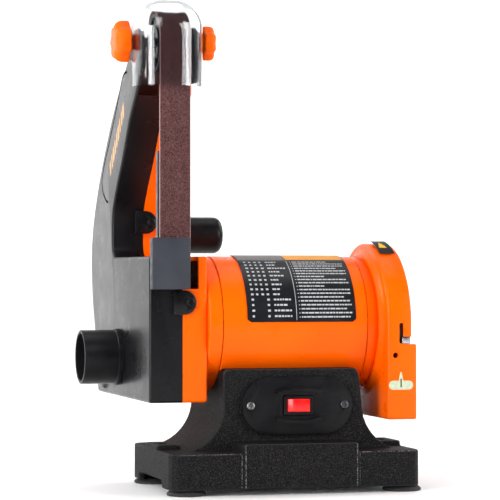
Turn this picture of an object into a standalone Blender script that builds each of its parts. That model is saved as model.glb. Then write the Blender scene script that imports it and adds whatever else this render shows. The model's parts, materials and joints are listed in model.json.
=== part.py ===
"""Bench-top combination sander: a 25.4 x 762 mm belt and a 125 mm disc on one motor.

World axes: +X to the right along the motor shaft, +Y to the rear, +Z up.
Lengths below are in millimetres and are turned into metres as each mesh is made.
X = 0 of the working frame is the belt's left edge, Y = 0 its front run, Z = 0 the bench.
The whole model is shifted by SHIFT so that its origin is the centre of its footprint.
"""
import math

import bmesh
import bpy
from mathutils import Vector

MM = 0.001
GAP = 0.3                       # clearance kept between touching pieces

# ---- driving dimensions ------------------------------------------------------------------
BELT_W, BELT_T, BELT_LENGTH = 25.4, 1.0, 762.0
R_TOP, R_DRIVE, R_IDLER = 25.5, 36.0, 22.0      # outside radius of the belt on each wheel
Z_TOP, Z_MOTOR, Z_IDLER = 358.5, 132.5, 206.0
TOP = (R_TOP, Z_TOP)                            # (Y, Z) of the upper wheel's axis
MOTOR = (R_DRIVE, Z_MOTOR)                      # (Y, Z) of the motor's axis

COVER_X0, SPLIT_X, FRAME_X1 = -10.9, 15.9, 36.2
COVER_WALL, FRAME_WALL = 2.5, 3.2
FRONT_Y, BOX_TOP_Z, BOX_BOTTOM_Z = -12.0, 186.5, 70.8
NOTCH_Z0 = 160.7
HEAD_Y = 41.0                   # the frame's wall stops here at the head, where a bracket takes over

MOTOR_R = 54.4
SEAM_LEFT, SEAM_RIGHT, MOTOR_X1 = 48.0, 167.6, 179.6
DISC_R, GUARD_R, GUARD_TOP = 62.5, 67.6, 65.2
GUARD_X0, GUARD_RIM_X, GUARD_BLOCK_X = 180.0, 200.2, 204.3
GUARD_BOTTOM_Z, GUARD_BLOCK_Z = 56.0, 116.7

PORT_R, PORT_BORE, PORT_X0, PORT_AXIS = 22.4, 19.6, -43.4, (104.0, 103.6)

PLINTH_X, PLINTH_Y, PLINTH_Z = (-2.0, 202.4), (-50.0, 93.0), (4.6, 33.0)
CENTRE_X, CENTRE_Z, CENTRE_Y0 = (55.8, 149.0), 40.0, -52.0
PEDESTAL_X, PEDESTAL_Y, PEDESTAL_TOP = (46.5, 159.3), (-22.0, 86.0), 97.5
FLANK_R = 38.0
FOOT_R, FOOT_H = 15.5, 4.3
FOOT_X, FOOT_Y = (13.6, 190.5), (-34.0, 82.0)
EAR_X, EAR_Y, EAR_Z = 20.0, (2.0, 42.0), 37.0     # raised bench-bolt pads on both sides

PLATE_Z, PLATE_X, PLATE_HALF_H = 68.4, (61.5, 151.7), 22.6
ROCKER_X, ROCKER_H = 107.0, 10.0

SHIFT = Vector((-(PORT_X0 + FOOT_X[1] + FOOT_R) / 2, -82.9, 0.0))

TEETH = 28                      # facets on the wheels and rings
MOTOR_STEPS = 40                # facets on the motor's shell and end bells


# ---- small modelling helpers -------------------------------------------------------------
def clear_scene():
    for item in list(bpy.data.objects):
        bpy.data.objects.remove(item, do_unlink=True)


def paint(name, colour, roughness=0.5, metallic=0.0, alpha=1.0):
    material = bpy.data.materials.new(name)
    material.use_nodes = True
    shader = material.node_tree.nodes["Principled BSDF"]
    shader.inputs["Base Color"].default_value = (*colour, 1.0)
    shader.inputs["Roughness"].default_value = roughness
    shader.inputs["Metallic"].default_value = metallic
    shader.inputs["Alpha"].default_value = alpha
    return material


ORANGE = ((1.0, 0.13, 0.0), 0.35, 0.0)
BLACK_PLASTIC = ((0.006, 0.006, 0.008), 0.25, 0.0)
BLACK_PAINT = ((0.015, 0.015, 0.018), 0.7, 0.0)
SLATE = ((0.02, 0.021, 0.028), 0.45, 0.0)
DARK_STEEL = ((0.05, 0.05, 0.055), 0.45, 0.9)
STEEL = ((0.55, 0.55, 0.57), 0.3, 1.0)
ALUMINIUM = ((0.7, 0.7, 0.72), 0.35, 1.0)
RUBBER = ((0.012, 0.012, 0.012), 0.85, 0.0)
ABRASIVE = ((0.1, 0.04, 0.04), 0.95, 0.0)
CLEAR = ((0.9, 0.93, 0.95), 0.05, 0.0)
RED = ((1.0, 0.01, 0.01), 0.3, 0.0)
COPPER = ((0.6, 0.25, 0.12), 0.4, 1.0)
LABEL = ((0.012, 0.012, 0.014), 0.4, 0.0)


def add(name, bm, finish, origin=(0.0, 0.0, 0.0), smooth=35.0):
    """Makes one object from bm (in millimetres), with its origin at the given place."""
    bmesh.ops.remove_doubles(bm, verts=bm.verts, dist=0.001)
    bmesh.ops.recalc_face_normals(bm, faces=bm.faces)
    place = Vector(origin)
    for vert in bm.verts:
        vert.co = (vert.co - place) * MM
    mesh = bpy.data.meshes.new(name)
    bm.to_mesh(mesh)
    bm.free()
    mesh.materials.append(paint(name, *finish))
    mesh.shade_smooth()
    mesh.set_sharp_from_angle(angle=math.radians(smooth))
    item = bpy.data.objects.new(name, mesh)
    item.location = (place + SHIFT) * MM
    bpy.context.collection.objects.link(item)
    return item


def cut(item, name, bm):
    """Subtracts the closed shape bm from the object."""
    cutter = add("cut_" + name, bm, STEEL)
    cutter.hide_render = True
    cutter.display_type = "WIRE"
    boolean = item.modifiers.new("cut_" + name, "BOOLEAN")
    boolean.operation = "DIFFERENCE"
    boolean.object = cutter
    return cutter


def merge(item, name, bm):
    """Joins the closed shape bm to the object as one body."""
    cutter = cut(item, name, bm)
    item.modifiers[-1].operation = "UNION"
    return cutter


def prism(outline, low, high, axis="X"):
    """A closed outline of (a, b) points, extruded from low to high along the axis.

    For X the points are (Y, Z), for Y they are (X, Z) and for Z they are (X, Y).
    """
    place = {"X": lambda a, b, h: (h, a, b),
             "Y": lambda a, b, h: (a, h, b),
             "Z": lambda a, b, h: (a, b, h)}[axis]
    bm = bmesh.new()
    near = [bm.verts.new(place(a, b, low)) for a, b in outline]
    far = [bm.verts.new(place(a, b, high)) for a, b in outline]
    bm.faces.new(near)
    bm.faces.new(list(reversed(far)))
    for i in range(len(outline)):
        j = (i + 1) % len(outline)
        bm.faces.new((near[i], far[i], far[j], near[j]))
    return bm


def box(x, y, z, bevel=0.0, edges=None):
    """A box from three (low, high) pairs; edges limits the bevel to those along one axis."""
    bm = prism([(x[0], y[0]), (x[1], y[0]), (x[1], y[1]), (x[0], y[1])], z[0], z[1], "Z")
    if bevel:
        chosen = bm.edges[:]
        if edges:
            index = "XYZ".index(edges)
            chosen = [e for e in bm.edges if abs((e.verts[0].co - e.verts[1].co)[index]) > 0.01]
        bmesh.ops.bevel(bm, geom=chosen, offset=bevel, segments=3, affect="EDGES", profile=0.5)
    return bm


def turned(profile, centre, axis="X", steps=TEETH, closed=False):
    """A profile of (along, radius) points turned round an axis through the centre.

    An open profile starts and ends on the axis; a closed one makes a ring.
    """
    around = {"X": lambda h, a, b: (h, centre[0] + a, centre[1] + b),
              "Y": lambda h, a, b: (centre[0] + a, h, centre[1] + b),
              "Z": lambda h, a, b: (centre[0] + a, centre[1] + b, h)}[axis]
    bm = bmesh.new()
    rings = []
    for along, radius in profile:
        if radius == 0.0:
            rings.append([bm.verts.new(around(along, 0.0, 0.0))])
            continue
        angles = [math.tau * i / steps for i in range(steps)]
        rings.append([bm.verts.new(around(along, radius * math.cos(t),
                                          radius * math.sin(t))) for t in angles])
    pairs = list(zip(rings, rings[1:]))
    if closed:
        pairs.append((rings[-1], rings[0]))
    for one, two in pairs:
        for i in range(steps):
            j = (i + 1) % steps
            corners = [one[i % len(one)], two[i % len(two)], two[j % len(two)], one[j % len(one)]]
            unique = list(dict.fromkeys(corners))
            if len(unique) > 2:
                bm.faces.new(unique)
    return bm


def rod(centre, radius, low, high, axis="X", steps=24, chamfer=0.0):
    c = chamfer
    profile = [(low, 0.0), (low, radius - c), (low + c, radius), (high - c, radius), (high, radius - c),
               (high, 0.0)]
    return turned(list(dict.fromkeys(profile)), centre, axis, steps)


def ring(centre, bore, radius, low, high, axis="X", steps=TEETH):
    return turned([(low, bore), (low, radius), (high, radius), (high, bore)], centre, axis, steps,
                  closed=True)


def arc(centre, radius, start, end, steps):
    """Points on a circle, from one angle to another, in degrees."""
    angles = [math.radians(start + (end - start) * i / steps) for i in range(steps + 1)]
    return [(centre[0] + radius * math.cos(t), centre[1] + radius * math.sin(t)) for t in angles]


def curve(points, steps=3):
    """A smooth run through the points."""
    run = []
    for i in range(len(points) - 1):
        before = points[max(i - 1, 0)]
        start, end = points[i], points[i + 1]
        after = points[min(i + 2, len(points) - 1)]
        for k in range(steps):
            t = k / steps
            run.append(tuple(0.5 * (2 * b + (c - a) * t + (2 * a - 5 * b + 4 * c - d) * t * t
                                    + (3 * b - a - 3 * c + d) * t ** 3)
                             for a, b, c, d in zip(before, start, end, after)))
    run.append(points[-1])
    return run


def inset(outline, depth):
    """The outline moved inwards by depth; the outline runs anticlockwise."""
    count = len(outline)
    inner = []
    for i in range(count):
        before, here, after = (Vector(outline[(i + k) % count]) for k in (-1, 0, 1))
        one = (here - before).normalized()
        two = (after - here).normalized()
        normal = Vector((-one.y - two.y, one.x + two.x)).normalized()
        stretch = max(normal.dot(Vector((-one.y, one.x))), 0.5)
        inner.append(tuple(here + normal * (depth / stretch)))
    return inner


def tray(outline, closed_x, open_x, wall, floor, lip=0.0):
    """A shell with its floor at closed_x and its open side at open_x, whose outer rim is rounded by lip."""
    inner = inset(outline, wall)
    inside_x = closed_x + math.copysign(floor, open_x - closed_x)
    bm = bmesh.new()
    loops = []
    rim = [(open_x, outline)]
    if lip:
        turns = [math.radians(30.0 * i) for i in range(4)]
        rim = [(open_x - lip * (1.0 - math.sin(t)), inset(outline, lip * (1.0 - math.cos(t)))) for t in turns]
    for x, points in [(closed_x, outline)] + rim + [(open_x, inner), (inside_x, inner)]:
        loops.append([bm.verts.new((x, y, z)) for y, z in points])
    bm.faces.new(loops[0])
    bm.faces.new(list(reversed(loops[-1])))
    for one, two in zip(loops, loops[1:]):
        for i in range(len(outline)):
            j = (i + 1) % len(outline)
            bm.faces.new((one[i], one[j], two[j], two[i]))
    return bm


def lobed(centre, radius, lobes, depth, low, high, chamfer=1.5, steps_per_lobe=4):
    """A knob with rounded lobes, along X."""
    count = lobes * steps_per_lobe
    bm = bmesh.new()
    rings = []
    for x, trim in ((low, chamfer), (low + chamfer, 0.0), (high - chamfer, 0.0), (high, chamfer)):
        loop = []
        for i in range(count):
            turn = math.tau * i / count
            r = radius - trim - depth * 0.5 * (1.0 - math.cos(lobes * turn))
            loop.append(bm.verts.new((x, centre[0] + r * math.cos(turn), centre[1] + r * math.sin(turn))))
        rings.append(loop)
    bm.faces.new(rings[0])
    bm.faces.new(list(reversed(rings[-1])))
    for one, two in zip(rings, rings[1:]):
        for i in range(count):
            j = (i + 1) % count
            bm.faces.new((one[i], one[j], two[j], two[i]))
    return bm


def helix(centre, radius, wire, low, high, turns, axis="X", per_turn=8, sides=4):
    """A coil spring as one tube with filled ends."""
    count = turns * per_turn
    bm = bmesh.new()
    rings = []
    for i in range(count + 1):
        turn = math.tau * i / per_turn
        along = low + wire + (high - low - 2 * wire) * i / count
        loop = []
        for k in range(sides):
            s = math.tau * k / sides
            r = radius + wire * math.cos(s)
            h = along + wire * math.sin(s)
            a, b = centre[0] + r * math.cos(turn), centre[1] + r * math.sin(turn)
            loop.append(bm.verts.new({"X": (h, a, b), "Y": (a, h, b), "Z": (a, b, h)}[axis]))
        rings.append(loop)
    bm.faces.new(rings[0])
    bm.faces.new(list(reversed(rings[-1])))
    for one, two in zip(rings, rings[1:]):
        for k in range(sides):
            m = (k + 1) % sides
            bm.faces.new((one[k], one[m], two[m], two[k]))
    return bm


# ---- the belt's path ---------------------------------------------------------------------
def belt_path(wheels, arc_step=12.0):
    """Points of the closed loop round three (y, z, radius) wheels, and the loop's length."""
    normals = []
    for i in range(3):
        a, b = wheels[i], wheels[(i + 1) % 3]
        span = Vector((b[0] - a[0], b[1] - a[1]))
        along = span.normalized()
        lean = (a[2] - b[2]) / span.length
        outward = Vector((along.y, -along.x))
        normals.append(along * lean + outward * math.sqrt(1.0 - lean * lean))
    points, length = [], 0.0
    for i in range(3):
        y, z, radius = wheels[i]
        arrive, leave = normals[i - 1], normals[i]
        start = math.degrees(math.atan2(arrive.y, arrive.x))
        end = math.degrees(math.atan2(leave.y, leave.x))
        while end < start:
            end += 360.0
        points += arc((y, z), radius, start, end, max(3, round((end - start) / arc_step)))
        length += radius * math.radians(end - start)
        nxt = wheels[(i + 1) % 3]
        length += (Vector(nxt[:2]) + leave * nxt[2] - Vector((y, z)) - leave * radius).length
    return points, length


def wheels_at(idler_y, trim):
    """The three wheels, with every radius smaller by trim; order: top, drive, idler."""
    return [(*TOP, R_TOP - trim), (*MOTOR, R_DRIVE - trim), (idler_y, Z_IDLER, R_IDLER - trim)]


def idler_place():
    """The idler's Y that takes up the belt's length, found by halving."""
    low, high = 100.0, 220.0
    for _ in range(40):
        middle = (low + high) / 2
        if belt_path(wheels_at(middle, BELT_T / 2))[1] < BELT_LENGTH:
            low = middle
        else:
            high = middle
    return round(low, 2)


IDLER = (idler_place(), Z_IDLER)


def make_belt():
    outer = belt_path(wheels_at(IDLER[0], 0.0))[0]
    inner = belt_path(wheels_at(IDLER[0], BELT_T))[0]
    bm = bmesh.new()
    loops = []
    for x, points in ((0.0, outer), (BELT_W, outer), (BELT_W, inner), (0.0, inner)):
        loops.append([bm.verts.new((x, y, z)) for y, z in points])
    for one, two in zip(loops, loops[1:] + loops[:1]):
        for i in range(len(outer)):
            j = (i + 1) % len(outer)
            bm.faces.new((one[i], one[j], two[j], two[i]))
    add("sanding_belt", bm, ABRASIVE)


# ---- belt housing: cast frame and plastic side cover -------------------------------------
def housing_outline():
    """The side outline as (Y, Z), anticlockwise seen from +X: lower box, rear bend, arm, head."""
    rear = curve([(203.0, 124.0), (213.5, 150.0), (217.8, 180.0), (212.0, 212.0), (188.0, 248.0),
                  (151.0, 286.5), (112.0, 319.0), (66.0, 350.0)])
    head = arc((32.0, 350.0), 20.0, 75.0, 235.0, 8)
    front = curve([(63.0, 298.3), (90.0, 266.8), (112.0, 245.0), (127.0, 226.0), (130.0, 206.0),
                   (129.0, 193.0), (122.0, BOX_TOP_Z)])
    corners = [(FRONT_Y, BOX_TOP_Z), (FRONT_Y, BOX_BOTTOM_Z), (189.0, BOX_BOTTOM_Z)]
    return corners + rear + head + front


def belt_openings(item, name, side_x, inner_x):
    """Clears the belt's way through the shell: the head, the box top and the front notch."""
    low, high = sorted((side_x, inner_x))
    cut(item, name + "_head", box((low, high), (-20.0, 88.0), (317.0, 400.0)))
    cut(item, name + "_mouth", box((max(low, -3.4), min(high, 29.0)), (FRONT_Y - 3.0, 16.0),
                                   (NOTCH_Z0, 195.0)))


def make_frame():
    shell = add("frame_casting", tray(housing_outline(), FRAME_X1, SPLIT_X + GAP / 2, FRAME_WALL, FRAME_WALL),
                ORANGE)
    belt_openings(shell, "frame", SPLIT_X - 1.0, FRAME_X1 - FRAME_WALL)
    cut(shell, "frame_shaft", rod(MOTOR, 12.0, FRAME_X1 - 10.0, FRAME_X1 + 5.0))
    cut(shell, "frame_head", box((SPLIT_X - 1.0, FRAME_X1 + 5.0), (-20.0, HEAD_Y), (300.0, 400.0)))
    slot = [(IDLER[0] - 18.0, Z_IDLER - 5.6), (IDLER[0] + 5.6, Z_IDLER - 5.6),
            (IDLER[0] + 5.6, Z_IDLER + 5.6), (IDLER[0] - 18.0, Z_IDLER + 5.6)]
    cut(shell, "frame_slot", prism(slot, FRAME_X1 - 10.0, FRAME_X1 + 5.0))
    for i, z in enumerate((168.5, 178.5)):
        cut(shell, "frame_platen_%d" % i, rod((17.0, z), 2.4, FRAME_X1 - 10.0, FRAME_X1 + 5.0, steps=12))
    for i, (y, z) in enumerate(MOTOR_BOLTS):
        cut(shell, "frame_bolt_%d" % i, rod((y, z), 2.5, FRAME_X1 - 10.0, FRAME_X1 + 5.0, steps=12))
    merge(shell, "frame_post", rod(COVER_SCREW, 5.0, SPLIT_X + 2.0, FRAME_X1 - 1.0, steps=20))
    cut(shell, "frame_post_thread", rod(COVER_SCREW, 2.3, SPLIT_X - 4.0, FRAME_X1 - 5.0, steps=12))


def make_head_bracket():
    """A dark plate that carries the upper axle in front of the frame, held by two studs and a tongue."""
    x0, x1 = 31.5, 34.7
    inner = FRAME_X1 - FRAME_WALL - GAP
    y1 = HEAD_Y - GAP
    outline = [(6.0, 325.5), (y1, 325.5), (y1, 365.0), (30.0, 371.0), (18.0, 371.0), (9.0, 366.0),
               (6.0, 359.0)]
    plate = add("head_bracket", prism(outline, x0, x1), DARK_STEEL)
    merge(plate, "bracket_tongue", box((inner - 3.0, inner), (29.0, 56.0), (327.0, 346.0)))
    cut(plate, "bracket_axle", rod(TOP, 7.2, x0 - 10.0, x1 + 5.0))
    for i, z in enumerate((331.0, 341.0)):
        merge(plate, "bracket_stud_%d" % i, rod((49.0, z), 2.0, inner - 1.5, FRAME_X1, steps=12))
        cut(bpy.data.objects["frame_casting"], "frame_stud_%d" % i,
            rod((49.0, z), 2.3, inner - 5.0, FRAME_X1 + 5.0, steps=12))


def make_cover():
    shell = add("side_cover", tray(housing_outline(), COVER_X0, SPLIT_X - GAP / 2, COVER_WALL, COVER_WALL),
                BLACK_PLASTIC)
    belt_openings(shell, "cover", COVER_X0 + COVER_WALL, SPLIT_X + 1.0)
    cut(shell, "cover_port", rod(PORT_AXIS, PORT_R + GAP, COVER_X0 - 5.0, COVER_X0 + 8.0, steps=TEETH))
    cut(shell, "cover_axle", rod(TOP, 6.9, COVER_X0 - 5.0, COVER_X0 + 8.0))
    cut(shell, "cover_screw", rod(COVER_SCREW, 2.4, COVER_X0 - 5.0, COVER_X0 + 8.0, steps=12))
    x0 = COVER_X0 - GAP
    screw = [(x0 - 2.4, 0.0), (x0 - 2.4, 2.8), (x0 - 1.2, 3.9), (x0, 3.9), (x0, 2.0), (28.0, 2.0),
             (28.0, 0.0)]
    add("cover_screw", turned(screw, COVER_SCREW, steps=14), DARK_STEEL)


COVER_SCREW = (159.5, 78.5)
MOTOR_BOLTS = [(MOTOR[0] + 38.0 * math.cos(math.radians(a)), MOTOR[1] + 38.0 * math.sin(math.radians(a)))
               for a in (34.0, 154.0, 274.0)]


def make_lugs():
    """Two half-round ears that hold the cover, each screwed to a front wall of the frame."""
    for name, z, wall_y in (("front", 150.0, FRONT_Y), ("arm", 216.0, 126.6)):
        face = wall_y - GAP
        outline = arc((17.0, z), 9.6, -90.0, 90.0, 10) + [(8.0, z + 9.6), (8.0, z - 9.6)]
        clip = add("cover_clip_" + name, prism(outline, face - 3.0, face, "Y"), BLACK_PLASTIC)
        cut(clip, "clip_hole_" + name, rod((21.6, z), 2.2, face - 6.0, face + 2.0, "Y", 12))
        cut(bpy.data.objects["frame_casting"], "clip_thread_" + name,
            rod((21.6, z), 1.9, face - 6.0, face + 14.0, "Y", 12))
        screw = [(face - 5.1, 0.0), (face - 5.1, 2.6), (face - 4.3, 3.9), (face - 3.3, 3.9),
                 (face - 3.3, 1.5),
                 (face + 8.0, 1.5), (face + 8.0, 0.0)]
        add("clip_screw_" + name, turned(screw, (21.6, z), "Y", 14), DARK_STEEL)


def make_port():
    profile = [(PORT_X0, PORT_BORE), (PORT_X0, PORT_R - 0.7), (PORT_X0 + 0.7, PORT_R),
               (COVER_X0 - 4.3, PORT_R), (COVER_X0 - 4.3, PORT_R + 1.0), (COVER_X0 - GAP, PORT_R + 1.0),
               (COVER_X0 - GAP, PORT_R), (COVER_X0 + 6.0, PORT_R), (COVER_X0 + 6.0, PORT_BORE)]
    add("dust_port", turned(profile, PORT_AXIS, closed=True), BLACK_PLASTIC)


def make_front_plate():
    """A channel-shaped plate over the belt's way into the box."""
    outline = [(-10.7, -22.0), (20.0, -22.0), (20.0, FRONT_Y - GAP), (17.5, FRONT_Y - GAP), (17.5, -19.5),
               (-8.2, -19.5), (-8.2, FRONT_Y - GAP), (-10.7, FRONT_Y - GAP)]
    add("front_guard_plate", prism(outline, 160.5, 201.2, "Z"), SLATE)


def make_platen():
    """A steel backing plate behind the belt with one flange, a foot and a tab that reaches the frame."""
    outline = [(-1.2, 1.6), (25.0, 1.6), (25.0, 4.8), (1.4, 4.8), (1.4, 7.4), (-1.2, 7.4)]
    plate = add("platen", prism(outline, 164.0, 270.2, "Z"), DARK_STEEL)
    merge(plate, "platen_foot", box((12.0, 29.5), (2.6, 4.6), (164.5, 182.5)))
    merge(plate, "platen_tab", box((29.2, FRAME_X1 - FRAME_WALL - GAP), (3.0, 23.0), (164.5, 182.5)))
    for i, z in enumerate((168.5, 178.5)):
        cut(plate, "platen_hole_%d" % i, rod((17.0, z), 2.0, 25.6, FRAME_X1 + 5.0, steps=12))
        add("platen_screw_%d" % (i + 1),
            turned([(26.3, 0.0), (26.3, 3.0), (27.0, 3.8), (28.9, 3.8), (28.9, 1.6), (36.0, 1.6),
                    (36.0, 0.0)],
                   (17.0, z), steps=14), STEEL)


# ---- wheels ------------------------------------------------------------------------------
def wheel_profile(radius, bore, crown, flange=0.0):
    """A crowned wheel with a thin web between its rim and its hub."""
    x0, x1 = 0.4, BELT_W - 0.4
    middle = BELT_W / 2
    rim = radius - 4.0
    hub = bore + 4.0
    return [(x0, bore), (x0, hub), (middle - 4.0, hub + 0.5), (middle - 4.0, rim - 0.5), (x0, rim),
            (x0, radius - crown), (middle, radius), (x1, radius - crown), (x1, rim),
            (middle + 4.0, rim - 0.5), (middle + 4.0, hub + 0.5), (x1, hub), (x1, bore)]


def make_top_wheel():
    wheel_r = R_TOP - BELT_T - 0.4
    add("top_wheel", turned(wheel_profile(wheel_r, 8.3, 0.8), TOP, closed=True), ALUMINIUM, (12.7, *TOP))
    for name, x in (("top_bearing_left", 1.0), ("top_bearing_right", 17.4)):
        add(name, ring(TOP, 4.3, 8.0, x, x + 7.0, steps=16), STEEL, (12.7, *TOP))
    axle = [(-7.6, 0.0), (-7.6, 3.9), (30.5, 3.9), (30.5, 6.2), (38.8, 6.2), (38.8, 3.0), (43.4, 3.0),
            (43.4, 0.0)]
    add("tracking_axle", turned(axle, TOP, steps=24), STEEL, (12.7, *TOP))
    add("tracking_spring", helix(TOP, 5.2, 0.5, 25.6, 30.2, 4), STEEL, (12.7, *TOP))


def make_idler():
    wheel_r = R_IDLER - BELT_T - 0.4
    add("idler_wheel", turned(wheel_profile(wheel_r, 6.3, 0.4), IDLER, closed=True, steps=24), ALUMINIUM,
        (12.7, *IDLER))
    axle = [(-4.0, 0.0), (-4.0, 5.0), (-1.0, 5.9), (26.6, 5.9), (26.6, 9.0), (30.0, 9.0), (30.0, 5.2),
            (44.6, 5.2),
            (44.6, 3.0), (78.0, 3.0), (78.0, 0.0)]
    add("idler_axle", turned(axle, IDLER, steps=20), STEEL, (12.7, *IDLER))
    knob = [(84.0, 0.0), (84.0, 10.0), (44.0, 10.0), (44.0, 5.6), (40.4, 5.6), (40.4, 15.8), (86.0, 15.8),
            (90.0, 14.6), (92.6, 12.0), (93.8, 8.0), (93.8, 0.0)]
    add("tension_knob", turned(knob, IDLER, steps=TEETH), BLACK_PLASTIC, (40.4, *IDLER))
    add("tension_spring", helix(IDLER, 5.6, 0.8, 45.2, 77.0, 7), STEEL, (40.4, *IDLER))


def make_drive():
    wheel_r = R_DRIVE - BELT_T - 0.4
    add("drive_wheel", turned(wheel_profile(wheel_r, 6.3, 0.5), MOTOR, closed=True), ALUMINIUM,
        (12.7, *MOTOR))
    shaft = [(-4.0, 0.0), (-4.0, 4.0), (-0.2, 4.0), (-0.2, 6.0), (26.2, 6.0), (26.2, 8.0), (196.0, 8.0),
             (196.0, 0.0)]
    add("motor_shaft", turned(shaft, MOTOR, steps=24), STEEL, (12.7, *MOTOR))
    nut = prism(arc(MOTOR, 7.5, 0.0, 300.0, 5), -5.6, -0.5)
    item = add("drive_nut", nut, STEEL, (12.7, *MOTOR))
    cut(item, "nut_bore", rod(MOTOR, 4.3, -8.0, 2.0))


# ---- motor -------------------------------------------------------------------------------
def make_motor():
    add("motor_shell", ring(MOTOR, MOTOR_R - 2.4, MOTOR_R, SEAM_LEFT + GAP, SEAM_RIGHT - GAP,
                            steps=MOTOR_STEPS), ORANGE)
    left = [(FRAME_X1 + GAP, 12.6), (FRAME_X1 + GAP, MOTOR_R - 2.0), (FRAME_X1 + 1.5, MOTOR_R - 0.8),
            (SEAM_LEFT - GAP, MOTOR_R - 0.8), (SEAM_LEFT - GAP, MOTOR_R - 3.2), (41.0, MOTOR_R - 5.0),
            (41.0, 16.3), (51.0, 16.3), (51.0, 12.6)]
    bell = add("end_bell_left", turned(left, MOTOR, closed=True, steps=MOTOR_STEPS), ORANGE)
    right = [(MOTOR_X1, 12.6), (MOTOR_X1, MOTOR_R - 6.0), (MOTOR_X1 - 5.0, MOTOR_R - 0.8),
             (SEAM_RIGHT + GAP, MOTOR_R - 0.8), (SEAM_RIGHT + GAP, MOTOR_R - 3.2), (175.0, MOTOR_R - 6.0),
             (175.0, 16.3), (165.0, 16.3), (165.0, 12.6)]
    add("end_bell_right", turned(right, MOTOR, closed=True, steps=MOTOR_STEPS), ORANGE)
    add("stator", ring(MOTOR, 28.0, MOTOR_R - 2.9, 72.0, 142.0, steps=28), COPPER)
    add("rotor", ring(MOTOR, 8.3, 27.2, 74.0, 140.0, steps=20), STEEL, (12.7, *MOTOR))
    for name, x in (("motor_bearing_left", 42.0), ("motor_bearing_right", 166.0)):
        add(name, ring(MOTOR, 8.3, 12.3, x, x + 8.0, steps=16), STEEL)
    fan = add("motor_fan", ring(MOTOR, 8.3, 14.0, 146.0, 160.0, steps=24), BLACK_PLASTIC, (12.7, *MOTOR))
    merge(fan, "fan_back", ring(MOTOR, 9.5, 44.0, 146.5, 148.0, steps=32))
    for i in range(6):
        turn = math.tau * i / 6
        side = Vector((-math.sin(turn), math.cos(turn))) * 0.8
        out = Vector((math.cos(turn), math.sin(turn)))
        centre = Vector(MOTOR)
        blade = [centre + out * 12.0 - side, centre + out * 43.0 - side, centre + out * 43.0 + side,
                 centre + out * 12.0 + side]
        merge(fan, "blade_%d" % i, prism([tuple(p) for p in blade], 147.2, 159.0))
    for i, (y, z) in enumerate(MOTOR_BOLTS):
        cut(bell, "bell_bolt_%d" % i, rod((y, z), 2.0, 30.0, 46.0, steps=12))
        x0 = FRAME_X1 - FRAME_WALL - GAP
        bolt = [(x0 - 3.4, 0.0), (x0 - 3.4, 4.2), (x0, 4.2), (x0, 1.6), (44.0, 1.6), (44.0, 0.0)]
        add("motor_bolt_%d" % (i + 1), turned(bolt, (y, z), steps=12), STEEL)


def make_label():
    outer = arc(MOTOR, MOTOR_R + GAP + 0.6, 90.0, 178.0, 24)
    inner = arc(MOTOR, MOTOR_R + GAP, 178.0, 90.0, 24)
    add("rating_plate", prism(outer + inner, 67.2, 157.4), LABEL)


# ---- disc side ---------------------------------------------------------------------------
def make_disc_guard():
    straight = MOTOR[1] - GUARD_BOTTOM_Z
    lower = [(MOTOR[0] - GUARD_R, MOTOR[1] - straight), (MOTOR[0] + GUARD_R, MOTOR[1] - straight)]
    squash = GUARD_TOP / GUARD_R
    outline = lower + [(y, MOTOR[1] + (z - MOTOR[1]) * squash)
                       for y, z in arc(MOTOR, GUARD_R, 0.0, 180.0, 40)]
    guard = add("disc_guard", tray(outline, GUARD_X0, GUARD_RIM_X, 2.0, 3.0, 1.5), ORANGE)
    y0, y1 = MOTOR[0] - GUARD_R, MOTOR[0] + GUARD_R
    block = box((GUARD_X0 + 6.0, GUARD_BLOCK_X), (y0 + 0.02, y1 - 0.02),
                (GUARD_BOTTOM_Z + 0.02, GUARD_BLOCK_Z),
                2.0, "X")
    merge(guard, "guard_block", block)
    cut(guard, "guard_hollow", box((GUARD_X0 + 3.0, GUARD_BLOCK_X + 5.0), (y0 + 3.0, y1 - 3.0),
                                   (GUARD_BOTTOM_Z + 3.0, MOTOR[1] + 4.0)))
    cut(guard, "guard_shaft", rod(MOTOR, 12.0, GUARD_X0 - 5.0, GUARD_X0 + 8.0))
    cut(guard, "guard_slot", box((190.2, 193.8), (y0 - 5.0, y0 + 6.0), (118.0, 134.0)))
    cut(guard, "guard_hole", rod((188.0, 107.5), 2.2, y0 - 5.0, y0 + 6.0, "Y", 12))
    for i, (y, z) in enumerate(MOTOR_BOLTS):
        cut(guard, "guard_bolt_%d" % i, rod((y, z), 2.2, GUARD_X0 - 5.0, GUARD_X0 + 8.0, steps=12))
        cut(bpy.data.objects["end_bell_right"], "bell_right_%d" % i, rod((y, z), 2.0, 170.0, 185.0, steps=12))
        x0 = GUARD_X0 + 3.0 + GAP
        screw = [(171.0, 0.0), (171.0, 1.6), (x0, 1.6), (x0, 3.8), (x0 + 2.2, 3.2), (x0 + 2.2, 0.0)]
        add("guard_screw_%d" % (i + 1), turned(screw, (y, z), steps=12), STEEL)


def make_disc():
    plate = [(188.4, 8.3), (188.4, 16.0), (191.0, 18.0), (194.0, 20.0), (194.0, DISC_R - 3.0),
             (190.5, DISC_R - 2.0),
             (190.5, DISC_R), (199.6, DISC_R), (199.6, 8.3)]
    add("disc_plate", turned(plate, MOTOR, closed=True, steps=44), ALUMINIUM, (12.7, *MOTOR))
    add("abrasive_disc", rod(MOTOR, DISC_R, 199.9, 201.0, steps=44), ABRASIVE, (12.7, *MOTOR))


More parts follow.
